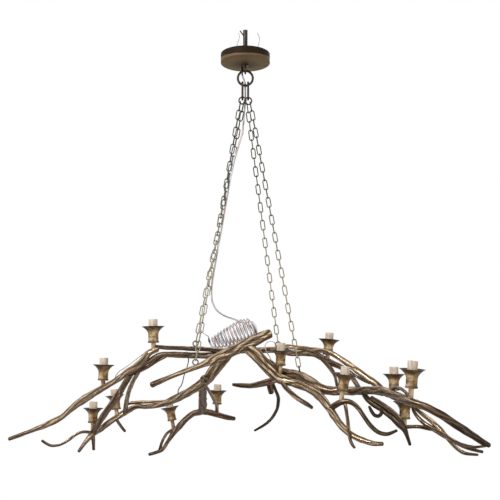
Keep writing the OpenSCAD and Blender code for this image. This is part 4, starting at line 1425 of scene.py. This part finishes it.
@dataclass(frozen=True)
class Coil:
    """Slack of the supply cord, wound in two layers round an axis that lies across the trunk.

    Its turns start where the cord comes down to them, run to the right end close to the axis, and come back
    over themselves to the left end. Left and right are drawn points. All lengths are in millimetres, and
    what is named after turns is in turns.
    """

    left: Sequence[float] = (209.5, 345.3, -11)
    right: Sequence[float] = (255, 327.3, 4.5)
    shares: Sequence[float] = (0, 0.08, 0.2, 0.35, 0.5, 0.65, 0.78, 0.9, 0.97, 1)
    radii: Sequence[float] = (12, 17, 22, 27, 30, 33, 34, 30, 23, 16)
    cord: float = 5.4
    inner_pitch: float = 7.0
    outer_pitch: float = 10.5
    layer: float = 5.8
    right_stop: float = 139.0
    left_stop: float = 4.75
    lead_in: float = 22.0
    lead_in_turn: float = 0.08
    dive_turn: float = 0.03
    back_turn: float = 0.5
    rise_turn: float = 0.7
    most_turns: int = 40
    steps: int = 32
    smallest: float = 10.9
    cord_slope: float = 0.72
    cord_clear: float = 20.0
    cord_angle: float = 0.1
    cord_spread: float = 0.55
    before_cord: float = 2.0
    after_cord: float = 3.0

    def line(self, entry: np.ndarray) -> np.ndarray:
        """Centreline of the turns, from where the cord meets them.

        With n turns made, the place along the axis starts at the entry, first runs on quickly, lead in * (1 -
        exp(-n / lead in turn)), and then advances by the pitch for each turn, to the right and then to the
        left. The distance from the axis is the outline's radius less half a cord, and less one layer more
        until the turns come back.

        Args:
            entry: Point where the cord meets the coil, in millimetres.

        Returns:
            Points in millimetres.
        """
        start, stop = (DRAWING.placed([p])[0, :3] / MM for p in (self.left, self.right))
        whole = float(np.linalg.norm(stop - start))
        axis = (stop - start) / np.linalg.norm(stop - start)
        offset = entry - start
        first = float(offset @ axis)
        radial = offset - first * axis
        entry_radius = float(np.linalg.norm(radial))
        up = radial / entry_radius
        side = np.cross(axis, up)
        turning = 1.0 if side[1] < 0 else -1.0

        turns, place, turn_back = self.places(first)
        outside = ease((turns - turn_back) / self.rise_turn)
        radius = np.interp(place / whole, self.shares, self.radii)
        radius = radius - self.cord / 2 - self.layer * (1 - outside)
        radius = radius + (entry_radius - radius[0]) * np.exp(-turns / self.dive_turn)
        radius = np.maximum(radius, self.smallest)
        angle = turns * FULL_TURN
        radius = self.past_cord(place, radius, angle, outside)
        return (
            start
            + place[:, None] * axis
            + radius[:, None] * (np.cos(angle)[:, None] * up + turning * np.sin(angle)[:, None] * side)
        )

    def places(self, first: float) -> tuple[np.ndarray, np.ndarray, float]:
        """Places along the axis, summed up from the advance for each turn.

        Args:
            first: Place at which the cord meets the coil.

        Returns:
            The turns made at each point, its place, and the turn at which the cord goes back.
        """
        turns = np.arange(0, self.most_turns, 1 / self.steps)
        turn_back = (self.right_stop - first - self.lead_in) / self.inner_pitch
        rate = self.lead_in / self.lead_in_turn * np.exp(-turns / self.lead_in_turn) + self.inner_pitch
        rate = rate + (-self.outer_pitch - rate) * ease((turns - turn_back) / self.back_turn)
        place = first + np.concatenate([[0], np.cumsum((rate[1:] + rate[:-1]) / 2 / self.steps)])
        place = place[: int(np.argmax((place < self.left_stop) & (turns > turn_back)))]
        return turns[: len(place)], place, turn_back

    def past_cord(
        self, place: np.ndarray, radius: np.ndarray, angle: np.ndarray, outside: np.ndarray
    ) -> np.ndarray:
        """Lets the outer turns pass over or under the cord where it comes down to the coil.

        Near the cord's angle, turns that lie right of where it comes in pass over it, and the others under.

        Args:
            place: Places along the axis.
            radius: Distances from it.
            angle: Angles round it.
            outside: 1 in the outer layer, and 0 in the inner one.

        Returns:
            The changed distances.
        """
        first, entry_radius = place[0], radius[0]
        lead_place, lead_radius = place[: self.steps // 4], radius[: self.steps // 4]
        from_cord = (angle + math.pi) % FULL_TURN - math.pi - self.cord_angle
        near = np.exp(-((from_cord / self.cord_spread) ** 2))
        lead = np.interp(place, lead_place, lead_radius, left=entry_radius + self.cord_clear)
        lead = np.where(place < first, entry_radius + (first - place) * self.cord_slope, lead)
        over = np.maximum(radius, lead + self.layer)
        under = np.minimum(radius, lead - self.layer)
        passing = np.where(place > first - self.before_cord, over, under)
        here = place < lead_place[-1] + self.after_cord
        return radius + (passing - radius) * near * outside * here


SUPPLY_ROUTE = [
    [0, 7.7, -90.2], [0, 8.6, -99], [0, 9, -111], [0, 9.3, -124], [-1, 10, -138], [-2.5, 12, -156],
    [-4, 12, -178], [-5.5, 8, -202], [-9, -1, -232], [-18, -10, -264], [-30, -17, -306], [-42, -24, -366],
    [-52, -31, -426], [-62, -38, -486], [-72, -45, -546], [-82, -52, -606],
    [-89, -56, -650], [-92, -56, -680],
    [-91, -51, -704], [-85, -42, -722], [-75, -31, -735], [-62, -18, -744], [-48, -7, -750], [-35, 1, -754],
    [-23, 6, -758.5], [-12, 8, -763],
]
CANOPY_ROUTE = [[-9, 14, -20], [-9, 14, -29], [-9, 14, -37], [-9, 12.3, -44], [-9, 9.7, -53]]
RING_ROUTE = [
    [-9, 8.8, -53.2], [-7.8, 6.9, -61], [-4.9, 6.2, -69], [-2, 6.2, -77], [-0.4, 6.3, -84], [0, 7, -89.4],
]
COIL_LEAD_ROUTE = [[-115, -40, -796], [-118.5, -60, -791], [-119.5, -69, -788]]
DROP_LEAD_ROUTE = [
    [-159, 4.6, -865.2], [-158.8, 1, -873], [-160, -5, -882], [-163, -8, -893], [-167, -8, -904],
    [-171, -7, -916], [-174, -6, -930], [-178, -5, -941], [-184, -4, -949],
    [-187, -4, -957], [-186, -4, -965],
]
BRANCH_LEAD_ROUTE = [
    [-250, -103, -841], [-261, -101, -846], [-271, -97, -853], [-284, -90, -861.5], [-297.5, -82, -871],
    [-313, -72, -882], [-330, -60, -893], [-345, -50, -902], [-352, -46, -910], [-356, -44, -917],
]
CURL_LEAD_ROUTE = [
    [88, 131, -832], [87, 125, -823], [83, 114, -817], [76, 102, -815], [66, 88, -817], [58, 72, -824],
    [57, 56, -834], [60, 40, -846], [67, 26, -858], [75, 14, -872.5],
]
TAIL_LEFT_ROUTE = [
    [-10.5, 14, -23], [-14, 17, -15], [-18, 17, -6], [-22, 16, 6], [-25, 14, 20], [-24, 12, 33],
    [-20, 11, 47], [-18, 11, 58], [-20, 11, 67],
]
TAIL_RIGHT_ROUTE = [
    [-7.2, 14, -23], [0, 19, -17], [10, 19, -10], [20, 17, 0], [28, 15, 12], [35, 13, 26], [40, 12, 44],
    [39, 11, 57], [34, 11, 67],
]


@dataclass
class Wiring:
    """All cords: the supply cord with its coil, the single leads and the wire tails above the canopy."""

    cord_d: float = 0.0054
    lead_d: float = 0.003
    supply_spacing: float = 0.003
    cap_back: float = 0.004
    sheath_end: float = 0.012
    cap_rings: int = 9
    cap_fit: float = 1.16
    lead_fit: float = 1.2
    lead_tuck: float = 0.002
    relief_start: float = 0.006
    relief_length: float = 0.022
    relief_fit: Band = (1.2, 1.06)
    coil: Coil = field(default_factory=Coil)

    def runs(self) -> list[CordRun]:
        """The cords that need no piece of their own beside them.

        Returns:
            Their facts.
        """
        clear = (CLEAR_FLEX, "clear_flex")
        pale = (PALE_WIRE, "clear_flex")
        black = (BLACK_WIRE, "black_lead")
        low, root, lead = "branch_frame", "ceiling_fixing", self.lead_d
        to_object, bare, loose = FarEnd.OBJECT, FarEnd.BARE, Lay.LOOSE
        return [
            CordRun("ring_flex", "ring_cord", "ring", RING_ROUTE, self.cord_d, *clear, to_object, Lay.TAUT),
            CordRun("drop_wire", "drop_lead", low, DROP_LEAD_ROUTE, lead, *black, bare, Lay.HANGING),
            CordRun("branch_wire", "branch_lead", low, BRANCH_LEAD_ROUTE, lead, *clear, to_object, loose),
            CordRun("curl_wire", "curl_lead", low, CURL_LEAD_ROUTE, lead, *clear, to_object, loose),
            CordRun("tail_left", "ceiling_tails", root, TAIL_LEFT_ROUTE, lead, *pale, bare, loose),
            CordRun("tail_right", "ceiling_tails", root, TAIL_RIGHT_ROUTE, lead, *pale, bare, loose),
        ]

    def build_supply(self) -> None:
        """Builds the supply cord with its coil and end cap, and then the thin lead that leaves the cap."""
        supply = CordRun(
            "supply_flex", "supply_cord", "branch_frame", SUPPLY_ROUTE, self.cord_d, CLEAR_FLEX, "clear_flex",
            FarEnd.FITTING, Lay.COILED, spacing=self.supply_spacing,
        )
        turns = self.coil.line(np.array(SUPPLY_ROUTE[-1], float)) * MM
        line = np.concatenate([supply.line(), turns[1:]])
        piece = supply.shape(line)
        end, heading = line[-1], line[-1] - line[-3]
        heading /= np.linalg.norm(heading)
        reach = np.linspace(-self.cap_back, self.sheath_end, self.cap_rings)[:, None]
        cap = Sleeve("flex_end_cap", self.cord_d * self.cap_fit, self.lead_d * self.lead_fit)
        cap_piece = cap.build(end + heading * reach, supply.body)
        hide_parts("cord_coil")
        supply.declare(piece, [cap_piece])
        log.info("coil ends at %s, heading %s", np.round(end / MM, 1), np.round(heading, 2))

        tip = end + heading * (self.sheath_end - self.lead_tuck)
        straight = tip + heading * self.sheath_end
        route = [(tip / MM).tolist(), (straight / MM).tolist(), *COIL_LEAD_ROUTE]
        CordRun(
            "coil_wire", "coil_lead", supply.body, route, self.lead_d, CLEAR_FLEX, "clear_flex",
            FarEnd.OBJECT, Lay.LOOSE,
        ).build()

    def build_canopy_cord(self) -> None:
        """Builds the cord between canopy and ring, with the sleeve that it leaves the canopy through."""
        canopy = CordRun(
            "canopy_flex", "canopy_cord", "ceiling_fixing", CANOPY_ROUTE, self.cord_d, CLEAR_FLEX,
            "clear_flex", FarEnd.OBJECT, Lay.HANGING,
        )
        line = canopy.line()
        piece = canopy.shape(line)
        run = running_length(line)
        covered = (run > self.relief_start) & (run < self.relief_start + self.relief_length)
        relief = Sleeve("flex_relief", *(self.cord_d * fit for fit in self.relief_fit))
        canopy.declare(piece, [relief.build(line[covered], canopy.body)])

    def build(self) -> None:
        """Builds the supply cord, its thin lead, the cord under the canopy, and then the other cords."""
        self.build_supply()
        self.build_canopy_cord()
        for run in self.runs():
            run.build()


# ---- Carried-over solids ----


@dataclass(frozen=True)
class Dressing:
    """Finishes of the solids that stay as they are."""

    candle_height: float = 0.0615
    cups: int = 12
    chains: tuple[str, ...] = ("chain_front_left", "chain_back_left", "chain_back_right", "chain_front_right")
    metals: tuple[tuple[MetalFinish, tuple[str, ...]], ...] = (
        (STEEL, ("ceiling_stem", "large_ring", "hub_links")),
        (ZINC, ("stem_nuts", "ceiling_strap")),
        (DARK_METAL, ("ceiling_loop", "hub_rings", "chain_eyes")),
        (STEM_METAL, ("left_stems", "right_stems")),
    )

    def dress(self, node: str, material: bpy.types.Material) -> None:
        """Gives a solid its material.

        Args:
            node: Name of the solid.
            material: Its finish.
        """
        solid = frame["nodes"][node]
        if not solid.material_slots:
            solid.data.materials.append(material)
        for slot in solid.material_slots:
            slot.material = material
        log.info("%s: %s", node, material.name)

    def dress_cups(self) -> None:
        """Gives each cup a material that knows where the cup stands, from its candle's socket."""
        sockets = {mount["name"]: mount for mount in frame["record"]["mounts"]}
        for number in range(1, self.cups + 1):
            socket = sockets[f"socket_{number}"]
            axis = np.array(socket["axis"])
            axis /= np.linalg.norm(axis)
            foot = np.array(socket["pos_m"]) - axis * self.candle_height
            finish = CupFinish(f"cup gilt {number}")
            self.dress(f"cup_{number}", finish.material(foot.tolist(), axis.tolist()))

    def build(self) -> None:
        """Dresses every solid that is shown."""
        for finish, nodes in self.metals:
            metal = finish.material()
            for node in nodes:
                self.dress(node, metal)
        brass = ChainFinish().material()
        for node in self.chains:
            self.dress(node, brass)
        self.dress("canopy", CanopyFinish().material())
        candle, holder = CandleFinish().material(), HolderFinish().material()
        for side in ("left", "right"):
            self.dress(f"{side}_sleeves", candle)
            self.dress(f"{side}_lampholders", holder)
        self.dress_cups()


# ---- Studio ----


@dataclass(frozen=True)
class SoftLamp:
    """A square lamp that is aimed at the middle of the chandelier."""

    name: str
    place: tuple[float, float, float]
    size: float
    power: float
    aim: tuple[float, float, float] = (0.0, 0.0, -0.75)

    def build(self) -> None:
        """Adds the lamp."""
        light = bpy.data.lights.new(self.name, "AREA")
        light.size = self.size
        light.energy = self.power
        lamp = bpy.data.objects.new(self.name, light)
        lamp.location = self.place
        lamp.rotation_euler = (Vector(self.aim) - Vector(self.place)).to_track_quat("-Z", "Y").to_euler()
        bpy.context.scene.collection.objects.link(lamp)


@dataclass
class Studio:
    """Camera, lamps, pale floor and white room."""

    camera_place: tuple[float, float, float] = (0.0271, -2.3675, -0.8755)
    camera_tilt: float = 3.0
    focal_pixels: float = 845.2
    picture: int = 500
    sensor: float = 36.0
    shift: tuple[float, float] = (-0.0097, 0.1354)
    floor_level: float = -2.40
    floor_half: float = 3.6
    floor_fade: Band = (0.4, 0.95)
    floor_colour: Colour = (0.86, 0.86, 0.86)
    floor_rough: float = 0.8
    room_light: float = 0.44
    clip_end: float = 50.0
    lamps: tuple[SoftLamp, ...] = (
        SoftLamp("key", (-2.0, -2.5, 1.5), 1.2, 100.0),
        SoftLamp("fill", (2.8, -2.2, -0.4), 2.2, 16.0),
        SoftLamp("back", (0.8, 2.6, 0.9), 1.6, 26.0),
    )

    def build_camera(self) -> None:
        """Adds the camera at the photograph's viewing angle."""
        lens = bpy.data.cameras.new("camera")
        lens.sensor_width = self.sensor
        lens.lens = self.focal_pixels / self.picture * self.sensor
        lens.shift_x, lens.shift_y = self.shift
        lens.clip_end = self.clip_end
        camera = bpy.data.objects.new("camera", lens)
        camera.location = self.camera_place
        camera.rotation_euler = (math.radians(90 + self.camera_tilt), 0, 0)
        bpy.context.scene.collection.objects.link(camera)
        bpy.context.scene.camera = camera

    def build_room(self) -> None:
        """Sets the world: white where it is seen or mirrored, and dimmer where it lights the object."""
        world = bpy.data.worlds.new("room")
        world.use_nodes = True
        nodes = Nodes(world.node_tree)
        dim = nodes.add("ShaderNodeBackground", {}, {"Color": WHITE, "Strength": self.room_light})
        white = nodes.add("ShaderNodeBackground", {}, {"Color": WHITE, "Strength": 1.0})
        mixed = nodes.add("ShaderNodeMixShader", {}, {0: nodes.shown(), 1: dim, 2: white})
        nodes.add("ShaderNodeOutputWorld", {}, {"Surface": mixed})
        bpy.context.scene.world = world

    def build_floor(self) -> None:
        """Adds the pale floor, which fades into the white room towards its edge."""
        half, level = self.floor_half, self.floor_level
        corners = [(-half, -half, level), (half, -half, level), (half, half, level), (-half, half, level)]
        mesh = bpy.data.meshes.new("floor")
        mesh.from_pydata(corners, [], [(0, 1, 2, 3)])
        shader = Shader("floor pale")
        edge = shader.off_axis(shader.place()).between(*(half * share for share in self.floor_fade))
        pale = {"Base Color": self.floor_colour, "Roughness": self.floor_rough}
        matt = shader.add("ShaderNodeBsdfPrincipled", {}, pale)
        white = shader.add("ShaderNodeEmission", {}, {"Color": WHITE, "Strength": 1.0})
        mixed = shader.add("ShaderNodeMixShader", {}, {0: edge * shader.shown(), 1: matt, 2: white})
        shader.add("ShaderNodeOutputMaterial", {}, {"Surface": mixed})
        mesh.materials.append(shader.material)
        floor = bpy.data.objects.new("floor", mesh)
        bpy.context.scene.collection.objects.link(floor)

    def build(self) -> None:
        """Builds the room, the floor and the lamps, and sets the plain view."""
        self.build_room()
        self.build_floor()
        for lamp in self.lamps:
            lamp.build()
        bpy.context.scene.view_settings.view_transform = "Standard"


MATERIALS: dict[str, bpy.types.Material] = {}


def mix_finishes() -> None:
    """Makes the materials that several pieces share."""
    for finish in (MID_BRONZE, PALE_BRONZE, BROWN_BRONZE, DARK_BRONZE, CLEAR_FLEX, PALE_WIRE, BLACK_WIRE):
        MATERIALS[finish.name] = finish.material()


def main() -> None:
    """Builds the camera, the cords, the branches, the dressed solids and the studio, in that order."""
    studio = Studio()
    studio.build_camera()
    mix_finishes()
    Wiring().build()
    BranchFrame().build()
    Dressing().build()
    studio.build()


if __name__ == "__main__":
    logging.basicConfig(level=logging.INFO, format="%(message)s")
    main()
